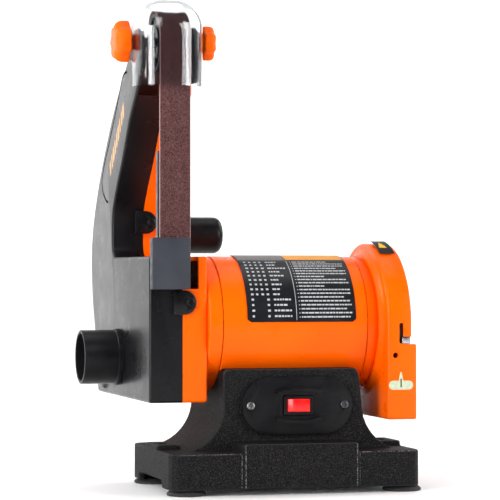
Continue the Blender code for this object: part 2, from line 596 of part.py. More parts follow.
# ---- base --------------------------------------------------------------------------------
def pedestal_outline():
    """Front outline of the pedestal as (X, Z): straight shoulders over concave flanks."""
    left, right = PEDESTAL_X
    foot_z = PLINTH_Z[1] - 2.0
    bend_z = foot_z + FLANK_R
    left_arc = arc((left + 0.5 - FLANK_R, bend_z), FLANK_R, 0.0, -84.0, 10)
    right_arc = arc((right + 2.0 + FLANK_R, bend_z), FLANK_R, 264.0, 180.0, 10)
    return [(left + 3.0, PEDESTAL_TOP), (left, PEDESTAL_TOP - 3.0)] + left_arc + [
        (left_arc[-1][0], 20.0), (right_arc[0][0], 20.0)] + right_arc + [
        (right - 0.5, PEDESTAL_TOP - 5.0), (right - 3.5, PEDESTAL_TOP)]


def make_base():
    base = add("base_casting", box(PLINTH_X, PLINTH_Y, PLINTH_Z, 11.0, "Z"), BLACK_PAINT)
    merge(base, "base_centre", box(CENTRE_X, (CENTRE_Y0, 20.0), (PLINTH_Z[0] + 0.4, CENTRE_Z), 2.0, "Y"))
    merge(base, "base_pedestal", prism(pedestal_outline(), *PEDESTAL_Y, "Y"))
    cut(base, "base_cradle", rod(MOTOR, MOTOR_R + GAP, PEDESTAL_X[0] - 60.0, PEDESTAL_X[1] + 60.0,
                                 steps=MOTOR_STEPS))
    cut(base, "base_hollow", box((PLINTH_X[0] + 5.0, PLINTH_X[1] - 5.0),
                                 (PLINTH_Y[0] + 5.0, PLINTH_Y[1] - 5.0),
                                 (0.0, PLINTH_Z[1] - 8.0), 6.0, "Z"))
    cut(base, "base_well", box((PEDESTAL_X[0] + 8.0, PEDESTAL_X[1] - 8.0),
                               (PEDESTAL_Y[0] + 5.0, PEDESTAL_Y[1] - 6.0),
                               (10.0, 73.0)))
    cut(base, "base_switch", box((ROCKER_X - 15.0, ROCKER_X + 15.0),
                                 (PEDESTAL_Y[0] - 5.0, PEDESTAL_Y[0] + 24.0),
                                 (PLATE_Z - 9.0, PLATE_Z + 9.0)))
    for i, x in enumerate(PLATE_SCREWS):
        cut(base, "base_plate_screw_%d" % i, rod((x, PLATE_Z), 1.6, PEDESTAL_Y[0] - 5.0,
                                                 PEDESTAL_Y[0] + 9.0, "Y", 12))
    cut(base, "base_gland", rod((132.0, 52.0), 6.2, PEDESTAL_Y[1] - 10.0, PEDESTAL_Y[1] + 6.0, "Y", 24))
    for i, span in enumerate(EAR_SPANS):
        merge(base, "ear_%d" % i, box(span, EAR_Y, (PLINTH_Z[1] - 5.0, EAR_Z), 2.0, "Z"))
        middle = sum(span) / 2
        cut(base, "ear_slot_%d" % i, box((middle - 3.2, middle + 3.2), (14.0, 30.0), (10.0, 50.0), 3.1, "Z"))
    arch = [(-19.0, 0.0), (-13.0, 10.5), (64.0, 10.5), (70.0, 0.0)]
    cut(base, "side_arch", prism(arch, PLINTH_X[0] - 9.0, PLINTH_X[1] + 9.0))
    for i, (x, y) in enumerate(FOOT_PLACES):
        pad = rod((x, y), 7.5, PLINTH_Z[0] + 0.3, PLINTH_Z[1] - 5.0, "Z", 20)
        merge(base, "foot_post_%d" % i, pad)
        cut(base, "foot_thread_%d" % i, rod((x, y), 2.3, 0.0, 20.0, "Z", 12))


PLATE_SCREWS = (68.0, 145.5)
EAR_SPANS = [(PLINTH_X[0] + 0.3, PLINTH_X[0] + EAR_X), (PLINTH_X[1] - EAR_X, PLINTH_X[1] - 0.3)]
FOOT_PLACES = [(x, y) for y in FOOT_Y for x in FOOT_X]
FOOT_NAMES = ("front_left", "front_right", "rear_left", "rear_right")


def make_feet():
    for name, (x, y) in zip(FOOT_NAMES, FOOT_PLACES):
        foot = [(0.0, 0.0), (0.0, FOOT_R - 1.0), (1.0, FOOT_R), (2.2, FOOT_R), (FOOT_H, 12.5), (FOOT_H, 2.0),
                (14.0, 2.0), (14.0, 0.0)]
        add("foot_" + name, turned(foot, (x, y), "Z", 16), RUBBER)


def make_bottom_plate():
    x0, x1 = FOOT_X[0] + 20.0, FOOT_X[1] - 20.0
    plate = add("bottom_plate", box((x0, x1), (PLINTH_Y[0] + 6.0, PLINTH_Y[1] - 6.0), (5.0, 6.6)), STEEL)
    for i in range(5):
        x = 76.0 + 12.0 * i
        cut(plate, "plate_vent_%d" % i, box((x, x + 4.0), (0.0, 50.0), (2.0, 9.0)))


def make_switch():
    y0 = PEDESTAL_Y[0] - GAP
    left, right, half = PLATE_X[0] + PLATE_HALF_H, PLATE_X[1] - PLATE_HALF_H, PLATE_HALF_H
    outline = arc((right, PLATE_Z), half, -90.0, 90.0, 14) + arc((left, PLATE_Z), half, 90.0, 270.0, 14)
    plate = add("switch_plate", prism(outline, y0 - 3.0, y0, "Y"), SLATE)
    cut(plate, "switch_window", box((ROCKER_X - 12.2, ROCKER_X + 12.2), (y0 - 9.0, y0 + 6.0),
                                    (PLATE_Z - 8.0, PLATE_Z + 8.0)))
    for side in (1.0, -1.0):
        centre_z = PLATE_Z - side * 46.0
        rib = arc((ROCKER_X, centre_z), 60.5 , 90.0 + 15.0, 90.0 - 15.0, 10)
        rib += arc((ROCKER_X, centre_z), 58.3, 90.0 - 15.0, 90.0 + 15.0, 10)
        if side < 0:
            rib = [(x, 2 * centre_z - z) for x, z in rib]
        merge(plate, "rib_%d" % (side + 1), prism(rib, y0 - 7.5, y0 - 1.0, "Y"))
    for i, x in enumerate(PLATE_SCREWS):
        cut(plate, "switch_plate_hole_%d" % i, rod((x, PLATE_Z), 2.2, y0 - 9.0, y0 + 5.0, "Y", 14))
        screw = [(y0 - 4.6, 0.0), (y0 - 4.6, 2.4), (y0 - 3.9, 3.6), (y0 - 3.3, 3.6), (y0 - 3.3, 1.3),
                 (y0 + 5.0, 1.3),
                 (y0 + 5.0, 0.0)]
        add("switch_screw_%d" % (i + 1), turned(screw, (x, PLATE_Z), "Y", 16), STEEL)
    bezel = add("switch_body", box((ROCKER_X - 11.8, ROCKER_X + 11.8), (y0 - 4.6, y0 + 22.0),
                                   (PLATE_Z - 7.6, PLATE_Z + 7.6)), BLACK_PLASTIC)
    cut(bezel, "rocker_well", box((ROCKER_X - 9.6, ROCKER_X + 9.6), (y0 - 9.0, y0 + 8.0),
                                  (PLATE_Z - ROCKER_H / 2 - 0.4, PLATE_Z + ROCKER_H / 2 + 0.4)))
    rocker = [(-8.8, -3.4), (0.0, -1.9), (8.8, -4.6), (8.2, 2.5), (2.5, 4.0), (-2.5, 4.0), (-8.2, 2.5)]
    pivot = (ROCKER_X, y0 - 2.0)
    add("rocker_switch", prism([(pivot[0] + a, pivot[1] + b) for a, b in rocker], PLATE_Z - ROCKER_H / 2,
                               PLATE_Z + ROCKER_H / 2, "Z"), RED, (pivot[0], pivot[1], PLATE_Z))


def make_gland():
    y = PEDESTAL_Y[1]
    profile = [(y - 8.0, 3.2), (y - 8.0, 5.8), (y + GAP, 5.8), (y + GAP, 9.0), (y + 4.0, 9.0), (y + 9.0, 6.0),
               (y + 14.0, 5.4), (y + 14.0, 3.2)]
    add("cord_gland", turned(profile, (132.0, 52.0), "Y", 20, closed=True), RUBBER)
    add("start_capacitor", rod((75.0, 60.0), 11.0, PLINTH_Z[1] - 15.0, 62.0, "Z", 24, 1.0), BLACK_PLASTIC)


# ---- head: tracking, clear guard, knobs --------------------------------------------------
GUARD_X = (-18.6, 39.0)
GUARD_WALL = 2.0
GUARD_FRONT_Y, GUARD_REAR_Y, GUARD_TOP_Z, GUARD_BOTTOM = -8.0, 56.0, 392.0, 322.0


def hood(x, front, rear, top, low, corner, pull):
    """A closed solid: an arch seen from the front, whose front edge is rounded over."""
    outline = [(x[0], low), (x[1], low)]
    outline += arc((x[1] - corner, top - corner), corner, 0.0, 90.0, 8)
    outline += arc((x[0] + corner, top - corner), corner, 90.0, 180.0, 8)
    bm = bmesh.new()
    steps = 6
    turns = [math.radians(90.0 * (1.0 - i / steps)) for i in range(steps + 1)]
    rings = [(front + pull * (1.0 - math.sin(t)), pull * (1.0 - math.cos(t))) for t in turns]
    rings.append((rear, 0.0))
    middle = (x[0] + x[1]) / 2
    half = (x[1] - x[0]) / 2
    loops = []
    for y, shrink in rings:
        side = shrink * 0.45
        loop = []
        for a, b in outline:
            scale = (half - side) / half
            height = (b - low) * (1.0 - shrink / (top - low)) + low
            loop.append(bm.verts.new((middle + (a - middle) * scale, y, height)))
        loops.append(loop)
    bm.faces.new(loops[0])
    bm.faces.new(list(reversed(loops[-1])))
    for one, two in zip(loops, loops[1:]):
        for i in range(len(outline)):
            j = (i + 1) % len(outline)
            bm.faces.new((one[i], one[j], two[j], two[i]))
    return bm


def make_clear_guard():
    x0, x1 = GUARD_X
    t = GUARD_WALL
    guard = add("clear_guard", hood((x0, x1), GUARD_FRONT_Y, GUARD_REAR_Y, GUARD_TOP_Z, GUARD_BOTTOM,
                                    22.0, 24.0),
                CLEAR, (12.7, *TOP))
    inner = hood((x0 + t, x1 - t), GUARD_FRONT_Y + t, GUARD_REAR_Y + 8.0, GUARD_TOP_Z - t,
                 GUARD_BOTTOM - 12.0,
                 20.0, 24.0)
    cut(guard, "hood_inside", inner)
    wedge = [(17.0, 300.0), (90.0, 300.0), (90.0, 356.0), (48.0, 356.0), (17.0, 341.0)]
    cut(guard, "hood_rear", prism(wedge, x0 - 10.0, x1 + 10.0))
    cut(guard, "hood_bore", rod(TOP, 7.0, x0 - 10.0, x1 + 10.0))


def make_knobs():
    x0 = GUARD_X[0] - GAP
    bm = lobed(TOP, 17.0, 7, 2.6, -32.2, x0 - 1.0)
    knob = add("tracking_knob", bm, ORANGE, (x0, *TOP))
    merge(knob, "tracking_neck", rod(TOP, 6.5, x0 - 4.0, -8.0))
    x1 = GUARD_X[1] + GAP
    knob = add("guard_knob", lobed(TOP, 14.2, 7, 2.2, x1 + 1.4, x1 + 11.0), ORANGE, (x1, *TOP))
    merge(knob, "guard_neck", rod(TOP, 7.8, x1, x1 + 6.0))
    cut(knob, "guard_knob_bore", rod(TOP, 4.2, x1 - 5.0, x1 + 4.5, steps=16))


def main():
    clear_scene()
    make_belt()
    make_frame()
    make_head_bracket()
    make_cover()
    make_lugs()
    make_port()
    make_front_plate()
    make_platen()
    make_top_wheel()
    make_idler()
    make_drive()
    make_motor()
    make_label()
    make_disc_guard()
    make_disc()
    make_base()
    make_feet()
    make_bottom_plate()
    make_switch()
    make_gland()
    make_clear_guard()
    make_knobs()


main()
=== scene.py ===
"""Looks of the bench-top belt and disc sander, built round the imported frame.

Lengths are in millimetres in a working frame: X = 0 at the belt's left edge, Y = 0 at its front run,
Z = 0 on the bench. piece() turns them into metres in the frame's own axes.
"""
import json
import math
import random

import bmesh
import bpy
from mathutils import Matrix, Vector


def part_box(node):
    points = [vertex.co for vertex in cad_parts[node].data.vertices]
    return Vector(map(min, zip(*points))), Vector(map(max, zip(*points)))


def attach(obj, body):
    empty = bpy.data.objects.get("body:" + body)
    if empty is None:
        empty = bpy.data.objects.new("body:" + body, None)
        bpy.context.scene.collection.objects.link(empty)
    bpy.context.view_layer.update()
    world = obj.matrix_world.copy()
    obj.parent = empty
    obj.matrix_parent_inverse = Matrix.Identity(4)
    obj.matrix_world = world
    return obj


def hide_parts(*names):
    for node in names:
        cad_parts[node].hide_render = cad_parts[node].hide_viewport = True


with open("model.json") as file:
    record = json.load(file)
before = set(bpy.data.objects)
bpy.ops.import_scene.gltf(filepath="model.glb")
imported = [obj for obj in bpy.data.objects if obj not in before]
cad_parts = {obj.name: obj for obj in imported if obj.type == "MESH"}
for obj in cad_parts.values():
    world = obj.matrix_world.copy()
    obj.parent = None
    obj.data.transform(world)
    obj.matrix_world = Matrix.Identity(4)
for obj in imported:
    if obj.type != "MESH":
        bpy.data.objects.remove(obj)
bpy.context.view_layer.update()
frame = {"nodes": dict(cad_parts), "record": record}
MM = 0.001
ORIGIN = Vector((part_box("sanding_belt")[0][0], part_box("sanding_belt")[0][1], 0.0))
BODY_OF = {node: body for body, nodes in frame["record"]["behaviour"]["bodies"].items() for node in nodes}
SLOT_OF = {row["node"]: row["material_slot"] for row in frame["record"]["subparts"]}


def span(node, axis):
    """The node's lowest and highest place along an axis, in millimetres of the working frame."""
    low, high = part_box(node)
    index = "XYZ".index(axis)
    return (low[index] - ORIGIN[index]) / MM, (high[index] - ORIGIN[index]) / MM


def centre(node, axes="YZ"):
    return tuple(sum(span(node, axis)) / 2 for axis in axes)


def half_size(node, axis):
    low, high = span(node, axis)
    return (high - low) / 2


MOTOR = centre("motor_shell")
TOP = centre("top_wheel")
IDLER = centre("idler_wheel")
PORT = centre("dust_port")


# ---- materials ----
class Paint:
    """A Principled material that is built up step by step from procedural textures."""

    def __init__(self, name, colour, roughness=0.5, metallic=0.0, **sockets):
        self.material = bpy.data.materials.new(name)
        self.material.use_nodes = True
        self.tree = self.material.node_tree
        self.shader = self.tree.nodes["Principled BSDF"]
        self.shader.inputs["Base Color"].default_value = (*colour, 1.0)
        self.shader.inputs["Roughness"].default_value = roughness
        self.shader.inputs["Metallic"].default_value = metallic
        for label, value in sockets.items():
            self.shader.inputs[label.replace("_", " ")].default_value = value
        self.place = self.node("ShaderNodeTexCoord").outputs["Object"]
        self.normal = None

    def node(self, kind, **inputs):
        made = self.tree.nodes.new(kind)
        for label, value in inputs.items():
            self.join(value, made.inputs[label.replace("_", " ")])
        return made

    def join(self, value, socket):
        if isinstance(value, bpy.types.NodeSocket):
            self.tree.links.new(value, socket)
        else:
            socket.default_value = value

    def noise(self, scale, detail=2.0, stretch=None):
        vector = self.place
        if stretch:
            vector = self.node("ShaderNodeMapping", Vector=self.place, Scale=stretch).outputs["Vector"]
        return self.node("ShaderNodeTexNoise", Vector=vector, Scale=scale, Detail=detail).outputs["Fac"]

    def cells(self, scale):
        return self.node("ShaderNodeTexVoronoi", Vector=self.place, Scale=scale).outputs["Distance"]

    def ramp(self, factor, low, high, start=0.35, end=0.65):
        ends = {"From_Min": start, "From_Max": end, "To_Min": low, "To_Max": high}
        return self.node("ShaderNodeMapRange", Value=factor, **ends).outputs["Result"]

    def colours(self, factor, low, high, start=0.35, end=0.65):
        mix = self.node("ShaderNodeValToRGB", Fac=factor)
        for stop, position, colour in zip(mix.color_ramp.elements, (start, end), (low, high)):
            stop.position, stop.color = position, (*colour, 1.0)
        self.join(mix.outputs["Color"], self.shader.inputs["Base Color"])
        return mix.outputs["Color"]

    def blend(self, colour, other, factor):
        mix = self.node("ShaderNodeMixRGB", Fac=factor, Color1=colour, Color2=(*other, 1.0))
        self.join(mix.outputs["Color"], self.shader.inputs["Base Color"])

    def rough(self, factor, low, high, start=0.35, end=0.65):
        self.join(self.ramp(factor, low, high, start, end), self.shader.inputs["Roughness"])

    def bump(self, height, depth, strength=1.0):
        made = self.node("ShaderNodeBump", Height=height, Strength=strength, Distance=depth * MM)
        if self.normal:
            self.join(self.normal, made.inputs["Normal"])
        self.normal = made.outputs["Normal"]
        self.join(self.normal, self.shader.inputs["Normal"])
        return self


def mottled(name, low, high, spots, rough, *bumps, broad=False, metallic=0.0, **sockets):
    """A material whose colour goes from low to high with a noise, given as its (scale, detail, stretch).

    rough is one number or (noise, low, high), and each of the bumps is (noise, depth in mm, strength).
    """
    varied = isinstance(rough, tuple)
    paint = Paint(name, high, 0.5 if varied else rough, metallic, **sockets)
    paint.colours(paint.noise(*spots), low, high, *((0.3, 0.7) if broad else (0.35, 0.65)))
    if varied:
        noise, *ends = rough
        paint.rough(paint.noise(*noise), *ends)
    for noise, depth, strength in bumps:
        paint.bump(paint.noise(*noise), depth, strength)
    return paint.material


def wrinkle_black():
    """Textured black paint: its colour follows the bump, with painted shade in the hollows and painted
    highlights on the grains. Convex edges are painted paler, an edge highlight that also stands for worn
    paint.
    """
    paint = Paint("wrinkle_black", (0.02, 0.02, 0.022), Specular_IOR_Level=0.12)
    grains = paint.noise(1500.0, 3.0)
    # Painted shade in the hollows and painted highlights on the grains, from the bump's own noise.
    colour = paint.colours(grains, (0.0015, 0.0015, 0.002), (0.05, 0.047, 0.047), 0.48, 0.8)
    # Paler convex edges: a painted edge highlight, partly also worn paint.
    edges = paint.ramp(paint.node("ShaderNodeNewGeometry").outputs["Pointiness"], 0.0, 0.5, 0.525, 0.57)
    paint.blend(colour, (0.1, 0.105, 0.11), edges)
    paint.rough(paint.noise(1400.0), 0.5, 0.8)
    return paint.bump(grains, 0.6).bump(paint.cells(1500.0), 0.15, 0.6).material


def grit():
    """Brown abrasive: fine and coarse grains, with long faint streaks down the belt."""
    paint = Paint("abrasive_grit", (0.1, 0.05, 0.045), Specular_IOR_Level=0.15)
    streaks = paint.noise(30.0, 3.0, (9.0, 1.0, 0.5))
    fine = paint.noise(1250.0, 4.0)
    both = paint.node("ShaderNodeMath")
    paint.join(fine, both.inputs[0])
    paint.join(paint.ramp(streaks, -0.02, 0.02), both.inputs[1])
    paint.colours(both.outputs["Value"], (0.035, 0.012, 0.012), (0.18, 0.08, 0.08), 0.36, 0.78)
    paint.rough(fine, 0.7, 0.95)
    return paint.bump(fine, 0.35, 0.8).bump(paint.cells(1800.0), 0.2, 0.5).material


def edge_highlight_paint():
    """Black paint with a dotted pale line: a painted highlight along an edge."""
    paint = Paint("edge_highlight_paint", (0.08, 0.08, 0.085), 0.7, Specular_IOR_Level=0.12)
    dots = paint.noise(1100.0)
    paint.colours(dots, (0.004, 0.004, 0.005), (0.2, 0.2, 0.21), 0.42, 0.66)
    return paint.bump(dots, 0.3, 0.7).material


def scaled(colour, factor):
    return tuple(min(1.0, factor * c) for c in colour)


def steel(name, colour, roughness, stretch=(1.0, 1.0, 1.0)):
    brushed = (900.0, 2.0, stretch)
    return mottled(name, scaled(colour, 0.8), scaled(colour, 1.15), brushed,
                   ((150.0,), roughness * 0.8, roughness * 1.25), (brushed, 0.02, 0.4), metallic=1.0)


def print_ink(name, colour):
    return mottled(name, scaled(colour, 0.85), colour, (500.0,), 0.5, ((1500.0,), 0.01, 0.3),
                   Specular_IOR_Level=0.12)


WIRES = (1200.0, 1.0, (0.1, 1.0, 1.0))
WEAVE = (2400.0, 1.0)
LOOKS = {
    "cast_base": wrinkle_black(),
    "orange_paint": mottled(
        "orange_enamel", (0.93, 0.1, 0.0), (0.98, 0.125, 0.0), (14.0, 3.0), ((60.0, 3.0), 0.27, 0.36),
        ((480.0, 1.0), 0.05, 0.25), ((35.0, 1.0), 0.2, 0.12), broad=True, Specular_IOR_Level=0.12,
        Coat_Weight=0.05, Coat_Roughness=0.15),
    "orange_plastic": mottled(
        "orange_plastic", (0.93, 0.105, 0.0), (0.98, 0.135, 0.0), (40.0,), ((220.0,), 0.33, 0.45),
        ((1600.0,), 0.04, 0.35), broad=True, Specular_IOR_Level=0.12),
    "black_cover": mottled(
        "gloss_black", (0.003, 0.003, 0.004), (0.006, 0.006, 0.007), (25.0, 3.0), ((45.0, 4.0), 0.26, 0.32),
        ((1900.0, 1.0), 0.03, 0.25), broad=True, Specular_IOR_Level=0.25),
    "black_plastic": mottled(
        "satin_black", (0.004, 0.004, 0.005), (0.008, 0.008, 0.009), (60.0,), ((300.0,), 0.3, 0.42),
        ((2200.0,), 0.05, 0.4), Specular_IOR_Level=0.15),
    "slate_plate": mottled(
        "slate_plastic", (0.011, 0.012, 0.016), (0.017, 0.018, 0.024), (50.0,), ((400.0,), 0.36, 0.5),
        ((2600.0,), 0.05, 0.45), Specular_IOR_Level=0.25),
    "guard_plate": mottled(
        "guard_paint", (0.026, 0.029, 0.038), (0.038, 0.042, 0.053), (30.0, 3.0), ((200.0,), 0.38, 0.55),
        ((700.0,), 0.06, 0.35), Specular_IOR_Level=0.25),
    "dark_steel": steel("dark_steel", (0.09, 0.09, 0.1), 0.38),
    "bright_steel": steel("bright_steel", (0.62, 0.62, 0.64), 0.25),
    "wheel_aluminium": steel("turned_aluminium", (0.72, 0.72, 0.74), 0.3, (1.0, 6.0, 6.0)),
    "foot_rubber": mottled(
        "moulded_rubber", (0.008, 0.008, 0.008), (0.02, 0.02, 0.02), (70.0,), ((260.0,), 0.65, 0.85),
        ((1500.0,), 0.08, 0.5)),
    "abrasive": grit(),
    "clear_hood": mottled(
        "clear_polycarbonate", (0.84, 0.86, 0.88), (0.93, 0.945, 0.955), (12.0, 3.0),
        ((40.0, 4.0), 0.06, 0.12, 0.4, 0.75), ((30.0, 1.0), 0.15, 0.12), broad=True,
        Transmission_Weight=1.0, IOR=1.6),
    "rocker_red": mottled(
        "rocker_red", (0.8, 0.004, 0.004), (1.0, 0.014, 0.014), (120.0,), 0.22, ((700.0,), 0.03, 0.3),
        Emission_Color=(1.0, 0.01, 0.01, 1.0), Emission_Strength=0.28),
    "winding": mottled(
        "copper_winding", (0.25, 0.09, 0.03), (0.7, 0.3, 0.13), WIRES, 0.35, (WIRES, 0.2, 0.8), metallic=0.9),
    "label_film": mottled(
        "label_film", (0.006, 0.007, 0.009), (0.011, 0.012, 0.015), (40.0,), ((90.0, 3.0), 0.28, 0.38),
        ((800.0,), 0.02, 0.2), Specular_IOR_Level=0.25),
}
WORN = steel("worn_steel", (0.24, 0.23, 0.22), 0.35)
# Dark red on the orange knob's neck: painted shade where the neck sits deep under the hood.
NECK_SHADE_RED = mottled("neck_painted_shade", (0.3, 0.002, 0.002), (0.5, 0.006, 0.004), (90.0,), 0.35,
                   ((900.0,), 0.04, 0.3))
CLOTH = mottled("backing_cloth", (0.26, 0.15, 0.14), (0.42, 0.27, 0.25), WEAVE, 0.8, (WEAVE, 0.1, 0.6))
# Matte near-black without specular: a painted shadow for a groove.
PAINTED_GROOVE_SHADOW = mottled("groove_shadow", (0.001, 0.001, 0.001), (0.004, 0.004, 0.004), (300.0,), 1.0,
                 ((900.0,), 0.05, 0.4), Specular_IOR_Level=0.0)
# Dotted pale paint for painted highlights along the base's edges.
EDGE_HIGHLIGHT = edge_highlight_paint()
INKS = {name: print_ink(name + "_ink", colour) for name, colour in (
    ("white", (0.5, 0.51, 0.53)), ("grey", (0.16, 0.15, 0.15)), ("amber", (0.7, 0.3, 0.05)),
    ("sand", (0.72, 0.42, 0.2)), ("yellow", (0.75, 0.48, 0.03)), ("pale", (0.55, 0.62, 0.44)),
    ("dark", (0.01, 0.01, 0.012)))}


# ---- making pieces ----
def piece(name, bm, node, look=None, replaces=True, smooth=30.0, cuts=(), joins=(), bevel=0.0, steps=2,
          extra=()):
    """Turns a shape in millimetres into a piece that rides with its node's body.

    cuts and joins are shapes subtracted or added, bevel rounds the sharp edges that are left, and extra
    holds the materials after the first.
    """
    item = raw_object(name, bm)
    helpers = combine(item, joins, "UNION") + combine(item, cuts, "DIFFERENCE")
    if bevel:
        modifier = item.modifiers.new("round", "BEVEL")
        modifier.width = bevel * MM
        modifier.segments = steps
        modifier.limit_method = "ANGLE"
        modifier.angle_limit = math.radians(38.0)
        modifier.use_clamp_overlap = True
    if item.modifiers:
        apply_modifiers(item, helpers)
    dress(item, [look or LOOKS[SLOT_OF[node]], *extra], smooth)
    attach(item, BODY_OF[node])
    if replaces:
        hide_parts(node)
    return item


def combine(item, shapes, operation):
    """Joins shapes to an item, or cuts them out of it, and hands back the helpers that do it."""
    helpers = []
    for shape in shapes:
        helpers.append(raw_object("tool", shape))
        modifier = item.modifiers.new("tool", "BOOLEAN")
        modifier.operation, modifier.solver, modifier.object = operation, "MANIFOLD", helpers[-1]
    return helpers


def dress(item, materials, smooth):
    """Gives an item its materials and shades it smooth but for edges sharper than smooth degrees."""
    item.data.materials.clear()
    for material in materials:
        item.data.materials.append(material)
    item.data.shade_smooth()
    item.data.set_sharp_from_angle(angle=math.radians(smooth))


def add(name, data):
    item = bpy.data.objects.new(name, data)
    bpy.context.scene.collection.objects.link(item)
    return item


def raw_object(name, bm):
    """A shape in millimetres as an object in the frame's metres."""
    bmesh.ops.remove_doubles(bm, verts=bm.verts, dist=0.001)
    bmesh.ops.recalc_face_normals(bm, faces=bm.faces)
    for vert in bm.verts:
        vert.co = vert.co * MM + ORIGIN
    mesh = bpy.data.meshes.new(name)
    bm.to_mesh(mesh)
    bm.free()
    return add(name, mesh)


def apply_modifiers(item, helpers):
    graph = bpy.context.evaluated_depsgraph_get()
    mesh = bpy.data.meshes.new_from_object(item.evaluated_get(graph))
    item.modifiers.clear()
    item.data = mesh
    for helper in helpers:
        bpy.data.objects.remove(helper)


def skin(bm, loops, closed=False):
    """Faces between loops of points; the first and last loop are joined when closed, else filled."""
    rings = [[bm.verts.new(point) for point in loop] for loop in loops]
    pairs = list(zip(rings, rings[1:]))
    if closed:
        pairs.append((rings[-1], rings[0]))
    for one, two in pairs:
        for i in range(len(one)):
            j = (i + 1) % len(one)
            bm.faces.new((one[i], one[j], two[j], two[i]))
    if not closed:
        bm.faces.new(rings[0])
        bm.faces.new(list(reversed(rings[-1])))
    return bm


PLACE = {"X": lambda h, a, b: (h, a, b), "Y": lambda h, a, b: (a, h, b), "Z": lambda h, a, b: (a, b, h)}


def rim(face, inwards, edge, count=4, flat=1.0):
    """(place, trim) pairs round a rounded rim, from its face to its side wall."""
    turns = [math.radians(90.0 * (count - i) / count) for i in range(count + 1)]
    return [(face + inwards * edge * (1.0 - math.sin(t)), flat * edge * (1.0 - math.cos(t))) for t in turns]


def prism(outline, low, high, axis="X", edge=0.0):
    """An outline extruded along an axis, its two rims rounded by edge; the outline runs anticlockwise."""
    place = PLACE[axis]
    layers = [(low, 0.0), (high, 0.0)]
    if edge:
        layers = rim(low, 1.0, edge) + rim(high, -1.0, edge)[::-1]
    return skin(bmesh.new(), [[place(h, a, b) for a, b in inset(outline, trim)] for h, trim in layers])


def rect(a, b):
    """The corners of a rectangle, anticlockwise, from two (low, high) pairs."""
    return [(a[0], b[0]), (a[1], b[0]), (a[1], b[1]), (a[0], b[1])]


def box(x, y, z, corner=0.0, axis="Z", edge=0.0):
    """A box from three (low, high) pairs, its corners round about one axis."""
    across, up, along = {"X": (y, z, x), "Y": (x, z, y), "Z": (x, y, z)}[axis]
    outline = rect(across, up)
    return prism(rounded(outline, corner) if corner else outline, *along, axis, edge)


def turned(profile, middle, axis="X", steps=96, closed=False):
    """A profile of (along, radius) points turned about an axis through the middle."""
    bm = bmesh.new()
    rings = []
    for along, radius in profile:
        points = arc(middle, radius, 0.0, 360.0, steps)[:-1] if radius else [middle]
        rings.append([bm.verts.new(PLACE[axis](along, a, b)) for a, b in points])
    pairs = list(zip(rings, rings[1:]))
    if closed:
        pairs.append((rings[-1], rings[0]))
    for one, two in pairs:
        for i in range(steps):
            j = (i + 1) % steps
            corners = (one[i % len(one)], two[i % len(two)], two[j % len(two)], one[j % len(one)])
            corners = dict.fromkeys(corners)  # at the axis two corners are one point
            if len(corners) > 2:
                bm.faces.new(list(corners))
    return bm


def rod(middle, radius, low, high, axis="X", steps=48):
    """A cylinder from low to high along an axis."""
    return turned([(low, 0.0), (low, radius), (high, radius), (high, 0.0)], middle, axis, steps)


def arc(middle, radius, start, end, steps):
    """Points on a circle from start to end, in degrees."""
    angles = [math.radians(start + (end - start) * i / steps) for i in range(steps + 1)]
    return [(middle[0] + radius * math.cos(t), middle[1] + radius * math.sin(t)) for t in angles]


def rounded(points, radius, closed=True):
    """The polygon with its corners rounded by up to the radius."""
    count, steps = len(points), 5
    run = []
    for i, here in enumerate(points):
        if not closed and i in (0, count - 1):
            run.append(tuple(here))
            continue
        here = Vector(here)
        before, after = Vector(points[i - 1]), Vector(points[(i + 1) % count])
        reach = min(radius, (before - here).length * 0.45, (after - here).length * 0.45)
        start = here + (before - here).normalized() * reach
        end = here + (after - here).normalized() * reach
        for k in range(steps + 1):
            t = k / steps
            run.append(tuple(start * (1 - t) ** 2 + here * 2 * t * (1 - t) + end * t ** 2))
    return run


def curve(points, steps=12):
    """A smooth run through the points."""
    run = []
    for i in range(len(points) - 1):
        four = points[max(i - 1, 0)], points[i], points[i + 1], points[min(i + 2, len(points) - 1)]
        for k in range(steps):
            t = k / steps
            run.append(tuple(0.5 * (2 * b + (c - a) * t + (2 * a - 5 * b + 4 * c - d) * t * t
                                    + (3 * b - a - 3 * c + d) * t ** 3) for a, b, c, d in zip(*four)))
    run.append(points[-1])
    return run


def inset(outline, depth):
    """The outline moved inwards by depth; the outline runs anticlockwise.

    A round corner tighter than the depth would fold over, so its points meet where its two sides meet.
    """
    if not depth:
        return outline
    count = len(outline)
    points = [Vector(point) for point in outline]
    sides = [(points[(i + 1) % count] - points[i]).normalized() for i in range(count)]
    inner = []
    for i in range(count):
        one, two = sides[i - 1], sides[i]
        normal = Vector((-one.y - two.y, one.x + two.x)).normalized()
        stretch = max(normal.dot(Vector((-one.y, one.x))), 0.5)
        inner.append(points[i] + normal * (depth / stretch))
    folded = [(inner[(i + 1) % count] - inner[i]).dot(sides[i]) < 1e-6 for i in range(count)]
    if any(folded) and not all(folded):
        start = next(i for i in range(count) if folded[i] and not folded[i - 1])
        i = start
        while i < start + count:
            if folded[i % count]:
                end = i
                while folded[end % count]:
                    end += 1
                one, two = sides[i % count - 1], sides[end % count]
                here, there = inner[i % count], inner[end % count]
                turn, gap = one.x * two.y - one.y * two.x, there - here
                along = (gap.x * two.y - gap.y * two.x) / turn if abs(turn) > 1e-3 else 0.0
                for k in range(i, end + 1):
                    inner[k % count] = here + one * along
                i = end
            i += 1
    return [tuple(point) for point in inner]


def tray(outline, closed_x, open_x, wall, floor, edge, lip=0.0):
    """A shell with a round edge at its closed side and a rounded lip at its open side."""
    inwards = math.copysign(1.0, open_x - closed_x)
    layers = rim(closed_x, inwards, edge)
    layers += rim(open_x, -inwards, lip)[::-1] if lip else [(open_x, 0.0)]
    layers += [(open_x, wall), (closed_x + inwards * floor, wall)]
    return skin(bmesh.new(), [[(x, y, z) for y, z in inset(outline, trim)] for x, trim in layers])


